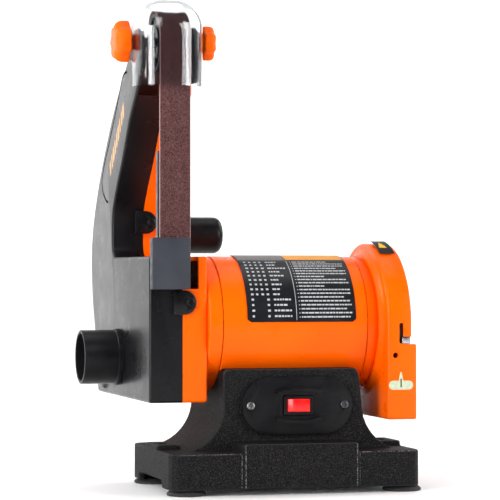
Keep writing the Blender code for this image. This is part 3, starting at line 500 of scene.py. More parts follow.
def screw(node, middle, face, axis, out, shank, ends, look=None, radius=3.8, height=2.2):
    """A pan head with a cross recess on its shank; out is the sense in which it stands off its face."""
    profile = [(face, 0.0), (face, radius)]
    profile += [(face + out * height * math.sin(t), radius * (0.55 + 0.45 * math.cos(t)))
                for t in (math.radians(20.0 * i) for i in range(1, 5))]
    profile += [(face + out * height, radius * 0.4), (face + out * height, 0.0)]
    reach, half = radius * 0.62, radius * 0.13
    top = sorted((face + out * (height - 1.1), face + out * (height + 1.0)))
    cross = [prism(rect((middle[0] - a, middle[0] + a), (middle[1] - b, middle[1] + b)), *top, axis)
             for a, b in ((reach, half), (half, reach))]
    piece(node + "_cross", turned(profile, middle, axis, 40), node, look, cuts=cross,
          joins=[rod(middle, shank, *ends, axis, 24)])


def bores(kind, count, radius, low, high):
    """Cutters along X at the places of the screws kind_1 to kind_count."""
    return [rod(centre("%s_%d" % (kind, i + 1)), radius, low, high, steps=24) for i in range(count)]


# ---- belt housing ----
COVER_X, FRAME_X = span("side_cover", "X"), span("frame_casting", "X")
FRONT_Y = span("frame_casting", "Y")[0]
BOX_BOTTOM = span("frame_casting", "Z")[0]
BOX_TOP = 186.5
NOTCH_Z0 = 160.7
HEAD_Y = 41.0
COVER_WALL, FRAME_WALL = 2.5, 3.2
BRACKET_SCREWS = [(49.0, 331.0), (49.0, 341.0)]


def housing_outline():
    """The (y, z) side view of the housing: the belt box, the rear of the arm, its head and its front."""
    rear = curve([(203.0, 124.0), (213.5, 150.0), (217.8, 180.0), (212.0, 212.0), (188.0, 248.0),
                  (151.0, 286.5), (112.0, 319.0), (66.0, 350.0)])
    head = arc((32.0, 350.0), 20.0, 75.0, 235.0, 24)
    front = curve([(63.0, 298.3), (90.0, 266.8), (112.0, 245.0), (127.0, 226.0), (130.0, 206.0),
                   (129.0, 193.0), (122.0, BOX_TOP)])
    low_front = [(FRONT_Y, BOX_TOP), (FRONT_Y, BOX_BOTTOM), (189.0, BOX_BOTTOM)]
    bends = rounded([front[-1]] + low_front + [rear[0]], 3.0, closed=False)
    return bends[1:-1] + rear + head + front


def belt_gaps(low, high):
    """The cutters that open a housing shell for the belt: the head, the box top and the front."""
    return [box((low, high), (-20.0, 88.0), (317.0, 400.0)),
            box((max(low, -3.4), min(high, 29.0)), (FRONT_Y - 3.0, 16.0), (NOTCH_Z0, 195.0), 2.0, "X")]


def make_cover():
    x0, x1 = COVER_X
    shell = tray(housing_outline(), x0, x1, COVER_WALL, COVER_WALL, 2.0)
    port_hole = span("dust_port", "Z")[1] - PORT[1] - 1.9
    hub_hole, screw_hole = 6.9, 2.4
    spot = centre("cover_screw")
    cuts = belt_gaps(x0 + COVER_WALL - 0.02, x1 + 1.0)
    cuts += [rod(middle, radius, x0 - 5, x0 + 8, steps=steps) for middle, radius, steps in
             ((PORT, port_hole, 96), (TOP, hub_hole, 48), (spot, screw_hole, 48))]
    piece("side_cover_shell", shell, "side_cover", cuts=cuts)
    screw("cover_screw", spot, x0 - 0.3, "X", -1.0, 2.0, (x0 - 0.5, 28.0))


def make_frame_shell():
    x0, x1 = FRAME_X
    through = (x1 - 10, x1 + 5)
    shell = tray(housing_outline(), x1, x0, FRAME_WALL, FRAME_WALL, 1.8)
    cuts = belt_gaps(x0 - 1.0, x1 - FRAME_WALL + 0.02)
    cuts += [rod(MOTOR, 12.0, *through), box((x0 - 1.0, x1 + 5), (-20.0, HEAD_Y), (300.0, 400.0))]
    cuts += [rod(spot, 2.3, *through, steps=24) for spot in BRACKET_SCREWS]
    cuts.append(box(through, (IDLER[0] - 18.0, IDLER[0] + 5.6), (IDLER[1] - 5.6, IDLER[1] + 5.6), 5.0, "X"))
    cuts += bores("motor_bolt", 3, 2.5, *through) + bores("platen_screw", 2, 2.4, *through)
    for name in ("clip_screw_front", "clip_screw_arm"):
        face = span(name, "Y")[0]
        cuts.append(rod(centre(name, "XZ"), 1.9, face - 4, face + 18, "Y", 24))
    post = rod(centre("cover_screw"), 5.0, x0 + 2.2, x1 - 1.0, steps=40)
    cuts.append(rod(centre("cover_screw"), 2.3, x0 - 4.0, x1 - 5.0, steps=24))
    piece("frame_casting_shell", shell, "frame_casting", cuts=cuts, joins=[post])


def make_head_bracket():
    x0, x1 = 31.5, 34.7
    inner = FRAME_X[1] - FRAME_WALL - 0.3
    hood_room = 4.5
    y0, z0 = span("head_bracket", "Y")[0] + hood_room, span("head_bracket", "Z")[0]
    y1 = HEAD_Y - 0.3
    top = [(30.0, 371.0), (20.0, 371.0), (13.0, 367.0)]
    outline = rounded([(y0, z0), (y1, z0), (y1, 365.0), *top, (y0, 359.0)], 3.0)
    joins = [box((inner - 3.0, inner), (29.0, 56.0), (327.0, 346.0), 2.0, "X")]
    joins += [rod(spot, 2.0, inner - 1.5, FRAME_X[1], steps=32) for spot in BRACKET_SCREWS]
    piece("head_bracket_plate", prism(outline, x0, x1, "X", 0.5), "head_bracket", joins=joins,
          cuts=[rod(TOP, 7.2, x0 - 10.0, x1 + 5.0)])


def make_cover_decor():
    """A flat matte black line along the arm's rear edge, a painted shadow in place of a groove, and a row of
    plain slanted bars.
    """
    x = COVER_X[0] - 0.04
    path = curve([(145.6, 233.4), (154.7, 235.2), (165.6, 241.1), (170.7, 248.1), (171.1, 254.2),
                  (162.2, 265.8), (148.1, 278.0), (136.5, 288.4), (121.9, 301.9), (105.9, 317.6),
                  (90.5, 333.1), (81.5, 337.7), (70.7, 338.1)])
    ribbon("arm_groove_shadow", path, x, 1.9, "side_cover", PAINTED_GROOVE_SHADOW)
    count, first, last = 9, Vector((86.0, 307.0)), Vector((136.0, 262.0))
    along = (last - first).normalized()
    across = Vector((along.y, -along.x))
    shear = along * 2.6
    bars = []
    for i in range(count):
        middle = first.lerp(last, i / (count - 1))
        wide = 2.3 if i % 3 else 3.4
        bars.append([middle + along * a * wide + across * b * 5.0 + shear * b
                     for a, b in rect((-1, 1), (-1, 1))])
    thin("arm_bars", flat(bars, x, "X"), "side_cover", INKS["sand"])


def ribbon(name, path, x, width, node, look):
    """A flat stripe along a path on the cover's left face."""
    left, right = [], []
    for i, here in enumerate(path):
        ahead = Vector(path[min(i + 1, len(path) - 1)]) - Vector(path[max(i - 1, 0)])
        side = Vector((-ahead.y, ahead.x)).normalized() * width / 2
        left.append(Vector(here) + side)
        right.append(Vector(here) - side)
    bm = bmesh.new()
    rows = [[bm.verts.new((x, p.x, p.y)) for p in side] for side in (left, right)]
    for i in range(len(path) - 1):
        bm.faces.new((rows[0][i], rows[0][i + 1], rows[1][i + 1], rows[1][i]))
    thin(name, bm, node, look)


def flat(outlines, height, axis, bm=None):
    """One flat face for each outline, all at one height along an axis."""
    bm = bm or bmesh.new()
    for outline in outlines:
        bm.faces.new([bm.verts.new(PLACE[axis](height, a, b)) for a, b in outline])
    return bm


def thin(name, bm, node, look, depth=0.06):
    """A printed shape: flat faces thickened into a thin closed film."""
    bmesh.ops.remove_doubles(bm, verts=bm.verts, dist=0.0005)
    bmesh.ops.recalc_face_normals(bm, faces=bm.faces)
    bmesh.ops.solidify(bm, geom=bm.faces[:], thickness=depth)
    piece(name, bm, node, look, replaces=False)


def make_clips():
    spot_x, end_x, straight_x, half = 21.6, 17.0, 8.0, 9.6
    for name in ("front", "arm"):
        node = "cover_clip_" + name
        z = centre(node, "XZ")[1]
        y0, y1 = span(node, "Y")
        outline = arc((end_x, z), half, -90.0, 90.0, 24) + [(straight_x, z + half), (straight_x, z - half)]
        piece(node + "_ear", prism(outline, y0, y1, "Y"), node, bevel=0.7,
              cuts=[rod((spot_x, z), 2.2, y0 - 4, y1 + 4, "Y", 24)])
        screw("clip_screw_" + name, (spot_x, z), y0 - 0.3, "Y", -1.0, 1.5, (y0 - 0.4, y1 + 8.0),
              LOOKS["black_plastic"], 3.9, 1.9)


def make_port():
    x0, x1 = span("dust_port", "X")
    out, bore, wall_x = 22.4, 19.6, COVER_X[0]
    collar = [(-4.3, 0.0), (-4.1, 0.6), (-3.7, 1.0), (-0.3, 1.0), (-0.3, 0.0)]
    profile = [(x0, bore + 0.5), (x0, out - 0.8), (x0 + 0.25, out - 0.25), (x0 + 0.8, out)]
    profile += [(wall_x + x, out + r) for x, r in collar] + [(x1, out), (x1, bore), (x0 + 0.6, bore)]
    piece("dust_port_tube", turned(profile, PORT, closed=True), "dust_port")


def make_front_plate():
    (x0, x1), (y0, y1), (z0, z1) = (span("front_guard_plate", a) for a in "XYZ")
    left, right, back = x0 + 2.5, x1 - 2.5, y0 + 2.5
    outline = [(x0, y0), (x1, y0), (x1, y1), (right, y1), (right, back), (left, back), (left, y1), (x0, y1)]
    piece("front_guard_channel", prism(outline, z0, z1, "Z"), "front_guard_plate", bevel=0.7, steps=3)


def make_platen():
    x0, x1 = span("platen", "X")
    outline = [(x0, 1.6), (25.0, 1.6), (25.0, 4.8), (1.4, 4.8), (1.4, 7.4), (x0, 7.4)]
    tab_z = (164.5, 182.5)
    joins = [box((12.0, 29.5), (2.6, 4.6), tab_z), box((29.2, x1), (3.0, 23.0), tab_z)]
    piece("platen_plate", prism(outline, *span("platen", "Z"), "Z"), "platen", joins=joins,
          cuts=bores("platen_screw", 2, 2.0, 25.6, 40.0), bevel=0.35)


# ---- belt and wheels ----
def belt_path(trim):
    """Points of the belt's closed loop, moved inwards by trim."""
    step = 3.0  # degrees
    radii = (25.5 - trim, 36.0 - trim, 22.0 - trim)
    wheels = [(*middle, radius) for middle, radius in zip((TOP, MOTOR, IDLER), radii)]
    normals = []
    for i in range(3):
        a, b = wheels[i], wheels[(i + 1) % 3]
        reach = Vector((b[0] - a[0], b[1] - a[1]))
        along = reach.normalized()
        lean = (a[2] - b[2]) / reach.length
        normals.append(along * lean + Vector((along.y, -along.x)) * math.sqrt(1.0 - lean * lean))
    points = []
    for i in range(3):
        y, z, radius = wheels[i]
        start = math.degrees(math.atan2(normals[i - 1].y, normals[i - 1].x))
        end = math.degrees(math.atan2(normals[i].y, normals[i].x))
        while end < start:
            end += 360.0
        points += arc((y, z), radius, start, end, round((end - start) / step))
    return points


def make_belt():
    """Grit outside and woven backing inside, with the backing showing as a pale line at both edges."""
    x0, x1 = span("sanding_belt", "X")
    edge = 0.55
    outer, inner, middle = belt_path(0.0), belt_path(1.0), belt_path(0.35)
    layers = [(x0, middle), (x0 + edge, outer), (x1 - edge, outer), (x1, middle), (x1, inner), (x0, inner)]
    loops = [[(x, y, z) for y, z in points] for x, points in layers]
    loop = skin(bmesh.new(), loops, closed=True)
    item = piece("sanding_belt_loop", loop, "sanding_belt", smooth=50.0, extra=[CLOTH])
    low, high = (x0 + edge) * MM + ORIGIN.x, (x1 - edge) * MM + ORIGIN.x
    for face in item.data.polygons:
        xs = [item.data.vertices[i].co.x for i in face.vertices]
        grit_face = min(xs) > low - 1e-5 and max(xs) < high + 1e-5
        face.material_index = 0 if grit_face else 1


def wheel(name, node, middle, radius, crown, bore, look=None):
    """A crowned wheel with a hub and a web."""
    x0, x1 = span(node, "X")
    mid, half, web, draft = (x0 + x1) / 2, (x1 - x0) / 2, 4.0, 0.6
    rim_in, hub, edge = radius - 4.0, bore + 4.0, radius - crown
    side = [(half, bore), (half, hub), (web, hub + draft), (web, rim_in - draft), (half, rim_in),
            (half, edge - draft), (half - draft, edge)]
    profile = [(mid - x, r) for x, r in side] + [(mid, radius)] + [(mid + x, r) for x, r in side[::-1]]
    piece(name, turned(profile, middle, closed=True), node, look)


def make_wheels():
    wheel("upper_wheel_turned", "top_wheel", TOP, 24.1, 0.8, 8.3, look=LOOKS["black_plastic"])
    wheel("idler_wheel_turned", "idler_wheel", IDLER, 20.6, 0.4, 6.3)
    wheel("drive_wheel_turned", "drive_wheel", MOTOR, 34.6, 0.5, 6.3)


# ---- motor ----
MOTOR_R = span("motor_shell", "Z")[1] - MOTOR[1]


def make_motor():
    x0, x1 = span("motor_shell", "X")
    r = MOTOR_R
    shell = [(x0, r - 2.4), (x0, r - 0.35), (x0 + 0.35, r), (x1 - 0.35, r), (x1, r - 0.35), (x1, r - 2.4)]
    piece("motor_shell_tube", turned(shell, MOTOR, closed=True, steps=128), "motor_shell")
    gap, step, shaft_hole, seat = 0.6, 0.7, 12.6, 16.3
    a, b = span("end_bell_left", "X")[0], x0 - gap
    left = [(a, shaft_hole)] + [(x, r - step - trim) for x, trim in rim(a, 1.0, 2.0, 9)]
    left += [(b - 0.3, r - step), (b, r - 1.0), (b, r - 3.2), (41.0, r - 6.0), (41.0, seat), (51.0, seat),
             (51.0, shaft_hole)]
    piece("end_bell_left_cast", turned(left, MOTOR, closed=True, steps=128), "end_bell_left",
          cuts=bores("motor_bolt", 3, 2.0, 30.0, 46.0))
    a, b = x1 + gap, span("end_bell_right", "X")[1]
    right = [(a, r - 3.2), (a, r - 1.0), (a + 0.3, r - step)]
    right += [(x, r - step - trim) for x, trim in rim(b, -1.0, 7.5, 9, 7.3 / 7.5)[::-1]]
    right += [(b, shaft_hole), (165.0, shaft_hole), (165.0, seat), (175.0, seat), (175.0, r - 8.0)]
    piece("end_bell_right_cast", turned(right, MOTOR, closed=True, steps=128), "end_bell_right",
          cuts=bores("guard_screw", 3, 2.0, 170.0, 185.0))


def motor_patch(bm, x0, x1, start, end, radius, steps=1):
    """A curved rectangle on the motor; angles are in degrees from the top towards the front."""
    rows = [(bm.verts.new((x0, y, z)), bm.verts.new((x1, y, z)))
            for y, z in arc(MOTOR, radius, 90.0 + start, 90.0 + end, steps)]
    for (a, b), (c, d) in zip(rows, rows[1:]):
        bm.faces.new((a, b, d, c))
    return bm


def make_rating_plate():
    """A curved black film with plain rows of bars in two columns: a generic data plate without words."""
    x0, x1 = span("rating_plate", "X")
    inner, thick, corner = MOTOR_R + 0.3, 0.6, 3.0
    outer, radius = inner + thick, inner + thick + 0.05
    steps, lowest = 44, 88.0
    loops = []
    for i in range(steps + 1):
        t = math.radians(90.0 + lowest * i / steps)
        left = math.radians(lowest - lowest * i / steps) * outer
        trim = corner - math.sqrt(max(corner ** 2 - max(corner - left, 0.0) ** 2, 0.0))
        loops.append([(x, MOTOR[0] + r * math.cos(t), MOTOR[1] + r * math.sin(t)) for x, r in
                      ((x0 + trim, inner), (x0 + trim, outer), (x1 - trim, outer), (x1 - trim, inner))])
    piece("rating_film", skin(bmesh.new(), loops), "rating_plate", smooth=40.0)
    split = x0 + (x1 - x0) * 0.45
    chance = random.Random(7)
    bars = bmesh.new()

    def words(x, limit, start, height, shortest, longest, gap):
        while x < limit - shortest:
            length = min(chance.uniform(shortest, longest), limit - x)
            motor_patch(bars, x, x + length, start, start + height, radius)
            x += length + gap

    full_rows, column_pitch = 9, 4.3
    for row in range(13):
        start = 26.0 + row * 4.7
        for column in range(4):
            if row < full_rows or column in (0, 3):
                x = x0 + 4.2 + column * column_pitch
                motor_patch(bars, x, x + chance.uniform(1.6, 2.3), start, start + 1.7, radius)
        ragged = chance.uniform(0.0, 9.0 if row < full_rows else 3.0)
        words(x0 + 22.5, split - 3.0 - ragged, start, 1.5, 1.2, 3.2, 0.7)
    for row in range(18):
        start = 25.5 + row * 3.4
        motor_patch(bars, split + 2.4, split + 3.2, start + 0.3, start + 1.1, radius)
        ragged = 0.0 if row % 3 else chance.uniform(3.0, 20.0)
        words(split + 4.3, x1 - 3.2 - ragged, start, 1.2, 1.0, 4.2, 0.6)
    motor_patch(bars, split - 0.2, split + 0.2, 24.0, lowest - 1.5, radius, 22)
    thin("rating_bars", bars, "rating_plate", INKS["white"])
    for name, low, high, end, look in (("rating_header", x0 + 0.8, split - 0.4, 22.5, INKS["grey"]),
                                       ("rating_strip", split + 0.4, x1 - 0.8, 21.5, INKS["amber"])):
        thin(name, motor_patch(bmesh.new(), low, high, 1.0, end, radius, 7), "rating_plate", look)


# ---- disc side ----
def make_disc_guard():
    x0, block_x = span("disc_guard", "X")
    y0, y1 = span("disc_guard", "Y")
    z0, z1 = span("disc_guard", "Z")
    radius, rim_x, block_z, flush = (y1 - y0) / 2, 200.2, 116.7, 0.02
    level = MOTOR[1]
    outline = rounded([(y0, level), (y0, z0), (y1, z0), (y1, level)], 3.0, closed=False)[1:-1]
    squash = (z1 - level) / radius
    outline += [(y, level + (z - level) * squash) for y, z in arc(MOTOR, radius, 0.0, 180.0, 72)]
    shell = tray(outline, x0, rim_x, 2.0, 3.0, 2.2, 1.5)
    front, rear, bottom = y0 + flush, y1 - flush, z0 + flush
    block_outline = rounded([(front, block_z), (front, bottom), (rear, bottom), (rear, block_z)], 2.6)
    block = prism(block_outline, x0 + 6.0, block_x, "X", 1.2)
    flare = [(-3.2, -5.0), (-3.2, 1.2), (-2.4, 2.2), (-1.2, 3.4), (0.4, 6.4), (1.5, 6.4), (1.5, -5.0)]
    neck = turned([(x0 + x, MOTOR_R + r) for x, r in flare], MOTOR, closed=True)
    through, skin_y = (x0 - 5.0, x0 + 8.0), (y0 - 5.0, y0 + 6.0)
    cuts = [box((x0 + 2.98, block_x + 5.0), (y0 + 3.0, y1 - 3.0), (z0 + 3.0, level + 4.0), 4.0, "X"),
            rod(MOTOR, 12.0, *through),
            box((189.6, 193.4), skin_y, (116.9, 133.4), 1.85, "Y"),
            rod((186.6, 107.5), 2.3, *skin_y, "Y", 32),
            box((192.2, 204.0), skin_y, (116.4, 122.4), 0.5, "Y")] + bores("guard_screw", 3, 2.2, *through)
    piece("disc_guard_cast", shell, "disc_guard", joins=[block], cuts=cuts)
    piece("disc_guard_neck", neck, "disc_guard", replaces=False)
    stop = box((192.5, 199.4), (y0 + 0.5, y0 + 2.6), (116.8, 121.6), 0.6, "Y", 0.3)
    piece("table_stop", stop, "disc_guard", LOOKS["bright_steel"], replaces=False)
    make_guard_decals(y0, radius + 0.05)
    face = x0 + 3.3
    for node in ("guard_screw_1", "guard_screw_2", "guard_screw_3"):
        screw(node, centre(node), face, "X", 1.0, 1.6, (171.0, face + 0.4))


def make_guard_decals(front, radius):
    """A pale pointer mark on the front, and on top a plain dark patch with a yellow triangle."""
    y, x, z = front - 0.05, 191.0, 83.6
    pill = arc((x + 6.6, z), 3.6, -90.0, 90.0, 12) + arc((x - 6.6, z), 3.6, 90.0, 270.0, 12)
    tip = [(x - 1.9, z + 3.6), (x + 1.9, z + 3.6), (x + 0.5, z + 10.5), (x - 0.5, z + 10.5)]
    thin("pointer_mark", flat([pill, tip], y, "Y"), "disc_guard", INKS["pale"])
    line = rect((x - 0.5, x + 0.5), (z - 1.6, z + 5.2))
    thin("pointer_line", flat([line], y - 0.08, "Y"), "disc_guard", INKS["dark"])
    patch = motor_patch(bmesh.new(), 183.6, 196.2, 8.0, 33.0, radius, 8)
    thin("guard_patch", patch, "disc_guard", INKS["dark"])
    mark, middle, pitch = bmesh.new(), 189.0, 1.8
    for i in range(6):
        half, start = 0.4 + 0.55 * i, 14.0 + pitch * i
        motor_patch(mark, middle - half, middle + half, start, start + pitch, radius + 0.08)
    thin("guard_patch_mark", mark, "disc_guard", INKS["yellow"])


def make_disc():
    x0, x1 = span("disc_plate", "X")
    r = half_size("disc_plate", "Y")
    bore = 8.3
    plate = [(x0, bore), (x0, 16.0), (x0 + 2.6, 18.0), (x0 + 5.6, 20.0), (x0 + 5.6, r - 4.0),
             (x0 + 2.4, r - 2.0), (x0 + 2.4, r - 0.5), (x0 + 2.9, r), (x1 - 0.5, r), (x1, r - 0.5),
             (x1, bore)]
    plate = turned(plate, MOTOR, closed=True, steps=128)
    piece("disc_plate_turned", plate, "disc_plate", LOOKS["dark_steel"])
    x0, x1 = span("abrasive_disc", "X")
    disc = [(x0, 0.0), (x0, r), (x1 - 0.3, r), (x1, r - 0.3), (x1, 0.0)]
    piece("abrasive_disc_sheet", turned(disc, MOTOR, steps=128), "abrasive_disc")


# ---- base ----
def make_base():
    """The CAD casting, its plinth corners rounded and its edges softened by a fine remesh and smoothing."""
    (x0, x1), (y0, y1) = (span("base_casting", axis) for axis in "XY")
    z0 = span("base_casting", "Z")[0]
    item = add("base_casting_cast", frame["nodes"]["base_casting"].data.copy())
    welded = bmesh.new()
    welded.from_mesh(item.data)
    bmesh.ops.remove_doubles(welded, verts=welded.verts, dist=0.001 * MM)
    welded.to_mesh(item.data)
    welded.free()
    plinth_y, radius = y0 + 2.0, 8.0
    corners = []
    for x, y, sx, sy in ((x0, plinth_y, 1, 1), (x1, plinth_y, -1, 1), (x1, y1, -1, -1), (x0, y1, 1, -1)):
        corner = [(x - sx, y - 3.0 * sy), (x + sx * radius, y - 3.0 * sy)]
        corner += [(a, y + sy * trim) for a, trim in rim(x, sx, radius, 12)[::-1]]
        corner += [(x - sx, y + sy * radius)]
        corners.append(prism(corner, z0 - 1.0, z0 + 60.0, "Z"))
    helpers = combine(item, corners, "DIFFERENCE")
    remesh = item.modifiers.new("cast", "REMESH")
    remesh.mode = "VOXEL"
    remesh.voxel_size = 0.95 * MM
    smooth = item.modifiers.new("soft", "SMOOTH")
    smooth.factor = 0.5
    smooth.iterations = 4
    apply_modifiers(item, helpers)
    dress(item, [LOOKS["cast_base"]], 180.0)
    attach(item, BODY_OF["base_casting"])
    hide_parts("base_casting")
    # Thin pale strips on the plinth's step edges and along its top edge: painted highlights where those edges
    # catch the light.
    low_z, plinth_z, bulge_z, line = 6.0, 32.6, 39.0, 0.7
    on_plinth = [rect((x, x + line), (low_z, plinth_z)) for x in (54.0, 150.1)]
    on_plinth += [rect(x, (32.2, 32.7)) for x in ((x0 + 7.0, 54.2), (150.6, x1 - 7.0))]
    on_bulge = [rect((x, x + line), (low_z, bulge_z)) for x in (56.6, 147.5)]
    highlight_lines = flat(on_bulge, y0 - 0.1, "Y", flat(on_plinth, y0 + 1.9, "Y"))
    thin("painted_edge_highlights", highlight_lines, "base_casting", EDGE_HIGHLIGHT, 0.12)


def make_feet():
    for node in ("foot_front_left", "foot_front_right", "foot_rear_left", "foot_rear_right"):
        x, y = centre(node, "XY")
        r = half_size(node, "X")
        profile = [(0.0, 0.0), (0.0, 5.0), (0.5, 5.5), (0.5, 8.0), (0.0, 8.5), (0.0, r - 1.2),
                   (0.35, r - 0.35), (1.1, r), (2.0, r), (2.6, r - 0.5), (4.0, 13.1), (4.3, 12.5), (4.3, 2.0),
                   (14.0, 2.0), (14.0, 0.0)]
        piece(node + "_pad", turned(profile, (x, y), "Z", 64), node)


def make_switch():
    (x0, x1), (y0, y1), (z0, z1) = (span("switch_plate", axis) for axis in "XYZ")
    face, through = y1 - 3.0, (y0 - 3.0, y1 + 3.0)
    half, z, x = (z1 - z0) / 2, (z0 + z1) / 2, centre("switch_body", "X")[0]
    outline = arc((x1 - half, z), half, -90.0, 90.0, 32) + arc((x0 + half, z), half, 90.0, 270.0, 32)
    rib_reach, lean = 46.0, 18.0
    ribs = []
    for up in (1.0, -1.0):
        rib = [arc((0.0, -rib_reach), radius, *ends, 24) for radius, ends in
               ((60.5, (90.0 + lean, 90.0 - lean)), (57.6, (90.0 - lean, 90.0 + lean)))]
        ribs.append(prism([(x + a, z + up * b) for a, b in rib[0] + rib[1]], y0, face + 1.0, "Y"))
    cuts = [box((x - 12.2, x + 12.2), through, (z - 8.0, z + 8.0), 1.0, "Y")]
    cuts += [rod(centre("switch_screw_%d" % i, "XZ"), 2.2, *through, "Y", 24) for i in (1, 2)]
    piece("switch_plate_moulded", prism(outline, face, y1, "Y"), "switch_plate", LOOKS["black_plastic"],
          joins=ribs, cuts=cuts, bevel=0.6, steps=3)
    (x0, x1), (y0, y1), (z0, z1) = (span("switch_body", axis) for axis in "XYZ")
    body = box((x0, x1), (y0, y1), (z0, z1), 1.2, "Y", 0.5)
    well = box((x0 + 2.2, x1 - 2.2), (y0 - 3.0, y0 + 12.0), (z0 + 2.2, z1 - 2.2), 0.8, "Y")
    piece("switch_bezel", body, "switch_body", cuts=[well])
    (x0, x1), (y0, y1), (z0, z1) = (span("rocker_switch", axis) for axis in "XYZ")
    middle = (x0 + x1) / 2
    outline = curve([(x0, y0 + 1.3), (middle - 1.5, y0 + 2.8), (x1, y0)], 8)
    outline += [(x1 - 0.6, y1 - 1.5), (middle + 2.5, y1), (middle - 2.5, y1), (x0 + 0.6, y1 - 1.5)]
    piece("rocker_cap", prism(outline, z0, z1, "Z"), "rocker_switch", bevel=0.5, steps=3)
    for node, look in (("switch_screw_1", WORN), ("switch_screw_2", LOOKS["dark_steel"])):
        screw(node, centre(node, "XZ"), face - 0.3, "Y", -1.0, 1.3, (face - 0.4, face + 8.0), look, 3.5, 1.3)


# ---- head ----
def hood(x, front, rear, top, low, corner, pull):
    """An arch seen from the front, extruded to the rear, whose front edge is rounded over."""
    outline = [(x[0], low), (x[1], low)]
    outline += arc((x[1] - corner, top - corner), corner, 0.0, 90.0, 24)
    outline += arc((x[0] + corner, top - corner), corner, 90.0, 180.0, 24)
    left_pull, right_pull = 0.67, 1.1
    loops = []
    for y, shrink in rim(front, 1.0, pull, 12) + [(rear, 0.0)]:
        left, right = x[0] + left_pull * shrink, x[1] - right_pull * shrink
        narrow, squat = (right - left) / (x[1] - x[0]), 1.0 - shrink / (top - low)
        loops.append([(left + (a - x[0]) * narrow, y, low + (b - low) * squat) for a, b in outline])
    return skin(bmesh.new(), loops)


def make_hood():
    (x0, x1), (y0, y1), (z0, z1) = (span("clear_guard", a) for a in "XYZ")
    wall, pull = 2.0, 24.0
    outer = hood((x0, x1), y0, y1, z1, z0, 24.0, pull)
    inner = hood((x0 + wall, x1 - wall), y0 + wall, y1 + 8.0, z1 - wall, z0 - 12.0, 21.0, pull)
    # What the hood leaves open, below and behind the wheel.
    wedge = [(17.0, z0 - 22.0), (90.0, z0 - 22.0), (90.0, 356.0), (48.0, 356.0), (17.0, 341.0)]
    cuts = [inner, prism(rounded(wedge, 5.0), x0 - 10.0, x1 + 10.0), rod(TOP, 7.0, x0 - 10.0, x1 + 10.0)]
    piece("wheel_hood_clear", outer, "clear_guard", cuts=cuts, smooth=40.0)


def lobed(middle, radius, depth, low, high, low_edge, high_edge):
    """A knob along X with seven rounded lobes, its ends rounded over by low_edge and high_edge."""
    lobes, count = 7, 98
    loops = []
    for x, trim in rim(low, 1.0, low_edge, 6, 0.8) + rim(high, -1.0, high_edge, 6, 0.8)[::-1]:
        loop = []
        for i in range(count):
            turn = math.tau * i / count
            r = radius - trim - depth * (0.5 * (1.0 - math.cos(lobes * turn))) ** 0.8
            loop.append((x, middle[0] + r * math.cos(turn), middle[1] + r * math.sin(turn)))
        loops.append(loop)
    return skin(bmesh.new(), loops)


def make_knobs():
    x0, x1 = span("tracking_knob", "X")
    inner = span("clear_guard", "X")[0] - 1.3
    body = lobed(TOP, 17.0, 2.6, x0, inner, 7.0, 1.6)
    cap = [(x0, 0.0), (x0 + 0.1, 7.0), (x0 + 1.5, 8.0), (x0 + 2.5, 8.0), (x0 + 2.5, 0.0)]
    piece("tracking_knob_lobes", body, "tracking_knob", joins=[turned(cap, TOP, steps=64)], smooth=40.0)
    r = 6.5
    neck = [(inner - 1.0, 0.0), (inner - 1.0, r), (inner + 5.0, r), (inner + 5.3, r - 0.5),
            (inner + 6.1, r - 0.5), (inner + 6.4, r), (x1, r), (x1, 0.0)]
    # The neck in dark red: painted shade on the orange knob.
    piece("tracking_neck", turned(neck, TOP, steps=64), "tracking_knob", NECK_SHADE_RED, replaces=False)
    x0, x1 = span("guard_knob", "X")
    body = lobed(TOP, 14.2, 2.2, x0 + 1.4, x1, 1.6, 4.5)
    bore = 4.2
    hub = [(x0, bore), (x0, 7.4), (x0 + 0.4, 7.8), (x0 + 6.0, 7.8), (x0 + 6.0, bore)]
    piece("guard_knob_lobes", body, "guard_knob", joins=[turned(hub, TOP, closed=True, steps=64)],
          cuts=[rod(TOP, bore, x0 - 5.0, x0 + 4.5)], smooth=40.0)


def make_tension_knob():
    x0, x1 = span("tension_knob", "X")
    r, spigot, shaft = half_size("tension_knob", "Z"), 10.0, 5.6
    profile = [(84.0, 0.0), (84.0, spigot), (44.0, spigot), (44.0, shaft), (x0, shaft), (x0, r - 0.8),
               (x0 + 0.8, r)]
    profile += [(x, r - trim) for x, trim in rim(x1, -1.0, 7.0, 10)[::-1]] + [(x1, 0.0)]
    piece("tension_knob_cap", turned(profile, IDLER, steps=96), "tension_knob")


# ---- everything that stays as the CAD made it ----
# These three look dark under the clear hood and take the dark steel in place of their slot's material:
# painted shade.
SHADED_UNDER_HOOD = ("top_bearing_left", "tracking_spring", "tracking_axle")


def dress_cad_nodes():
    for name, item in frame["nodes"].items():
        dress(item, [LOOKS["dark_steel" if name in SHADED_UNDER_HOOD else SLOT_OF[name]]], 35.0)


# ---- stage, light and camera ----
def make_stage():
    """A pale floor that turns up into a wall far behind the object."""
    wide, near, far, turn, tall = 6.0, -4.0, 3.2, 1.6, 5.0
    profile = [(near, 0.0), *arc((far - turn, turn), turn, -90.0, 0.0, 12), (far, tall)]
    mesh = bpy.data.meshes.new("floor")
    verts = [(x, y, z) for y, z in profile for x in (-wide, wide)]
    faces = [(2 * i, 2 * i + 1, 2 * i + 3, 2 * i + 2) for i in range(len(profile) - 1)]
    mesh.from_pydata(verts, [], faces)
    mesh.shade_smooth()
    floor = add("floor", mesh)
    paint = Paint("floor_white", (0.93, 0.93, 0.93), 0.6)
    paint.colours(paint.noise(3.0, 2.0), (0.925, 0.925, 0.925), (0.935, 0.935, 0.935))
    mesh.materials.append(paint.material)


def area_light(name, place, aim, size, power):
    """A rectangular light turned towards aim; metres and watts."""
    data = bpy.data.lights.new(name, "AREA")
    data.shape = "RECTANGLE"
    data.size, data.size_y = size
    data.energy = power
    item = add(name, data)
    item.location = place
    item.rotation_euler = (Vector(aim) - Vector(place)).to_track_quat("-Z", "Y").to_euler()


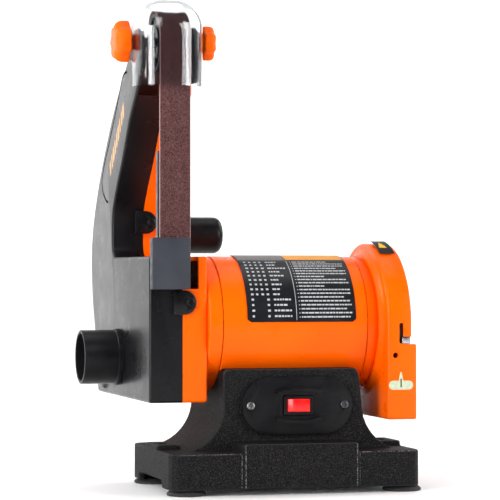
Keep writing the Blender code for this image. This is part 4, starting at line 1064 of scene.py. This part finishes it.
def make_lights():
    """Soft lights round the machine, two on the backdrop, and a world that is darker towards the viewer."""
    aim = (0.0, 0.0, 0.18)
    area_light("key", (-0.9, -2.1, 2.0), aim, (1.2, 1.2), 16.0)
    area_light("side_left", (-1.6, -1.2, 0.5), aim, (0.8, 1.6), 44.0)
    area_light("side_right", (1.7, -1.4, 0.6), aim, (0.8, 1.6), 36.0)
    area_light("top", (0.0, 0.1, 2.2), aim, (1.6, 1.6), 16.0)
    for name, side in (("backdrop_left", -1.0), ("backdrop_right", 1.0)):
        area_light(name, (side * 2.6, 0.9, 1.7), (side * 0.6, 3.2, 0.7), (1.2, 2.0), 95.0)
    world = bpy.data.worlds.new("studio")
    world.use_nodes = True
    tree = world.node_tree
    background = tree.nodes["Background"]
    place = tree.nodes.new("ShaderNodeTexCoord")
    split = tree.nodes.new("ShaderNodeSeparateXYZ")
    ramp = tree.nodes.new("ShaderNodeMapRange")
    ramp.interpolation_type = "SMOOTHSTEP"
    for label, value in (("From Min", -0.8), ("From Max", 0.1), ("To Min", 0.18), ("To Max", 1.4)):
        ramp.inputs[label].default_value = value
    tree.links.new(place.outputs["Generated"], split.inputs["Vector"])
    tree.links.new(split.outputs["Y"], ramp.inputs["Value"])
    tree.links.new(ramp.outputs["Result"], background.inputs["Strength"])
    bpy.context.scene.world = world


def make_camera():
    """The photograph's view: a long lens, left of the machine, level with the motor."""
    azimuth, pitch, eye = 15.28, 0.512, Vector((-425.9, -1831.0, 174.8))
    data = bpy.data.cameras.new("camera")
    data.sensor_width, data.lens = 36.0, 170.712
    data.clip_end = 50.0
    item = add("camera", data)
    item.location = eye * MM + ORIGIN
    item.rotation_euler = (math.radians(90.0 + pitch), 0.0, math.radians(-azimuth))
    bpy.context.scene.camera = item
    bpy.context.scene.view_settings.view_transform = "Standard"


dress_cad_nodes()
make_cover()
make_frame_shell()
make_head_bracket()
make_cover_decor()
make_clips()
make_port()
make_front_plate()
make_platen()
make_belt()
make_wheels()
make_motor()
make_rating_plate()
make_disc_guard()
make_disc()
make_base()
make_feet()
make_switch()
make_hood()
make_knobs()
make_tension_knob()
make_stage()
make_lights()
make_camera()
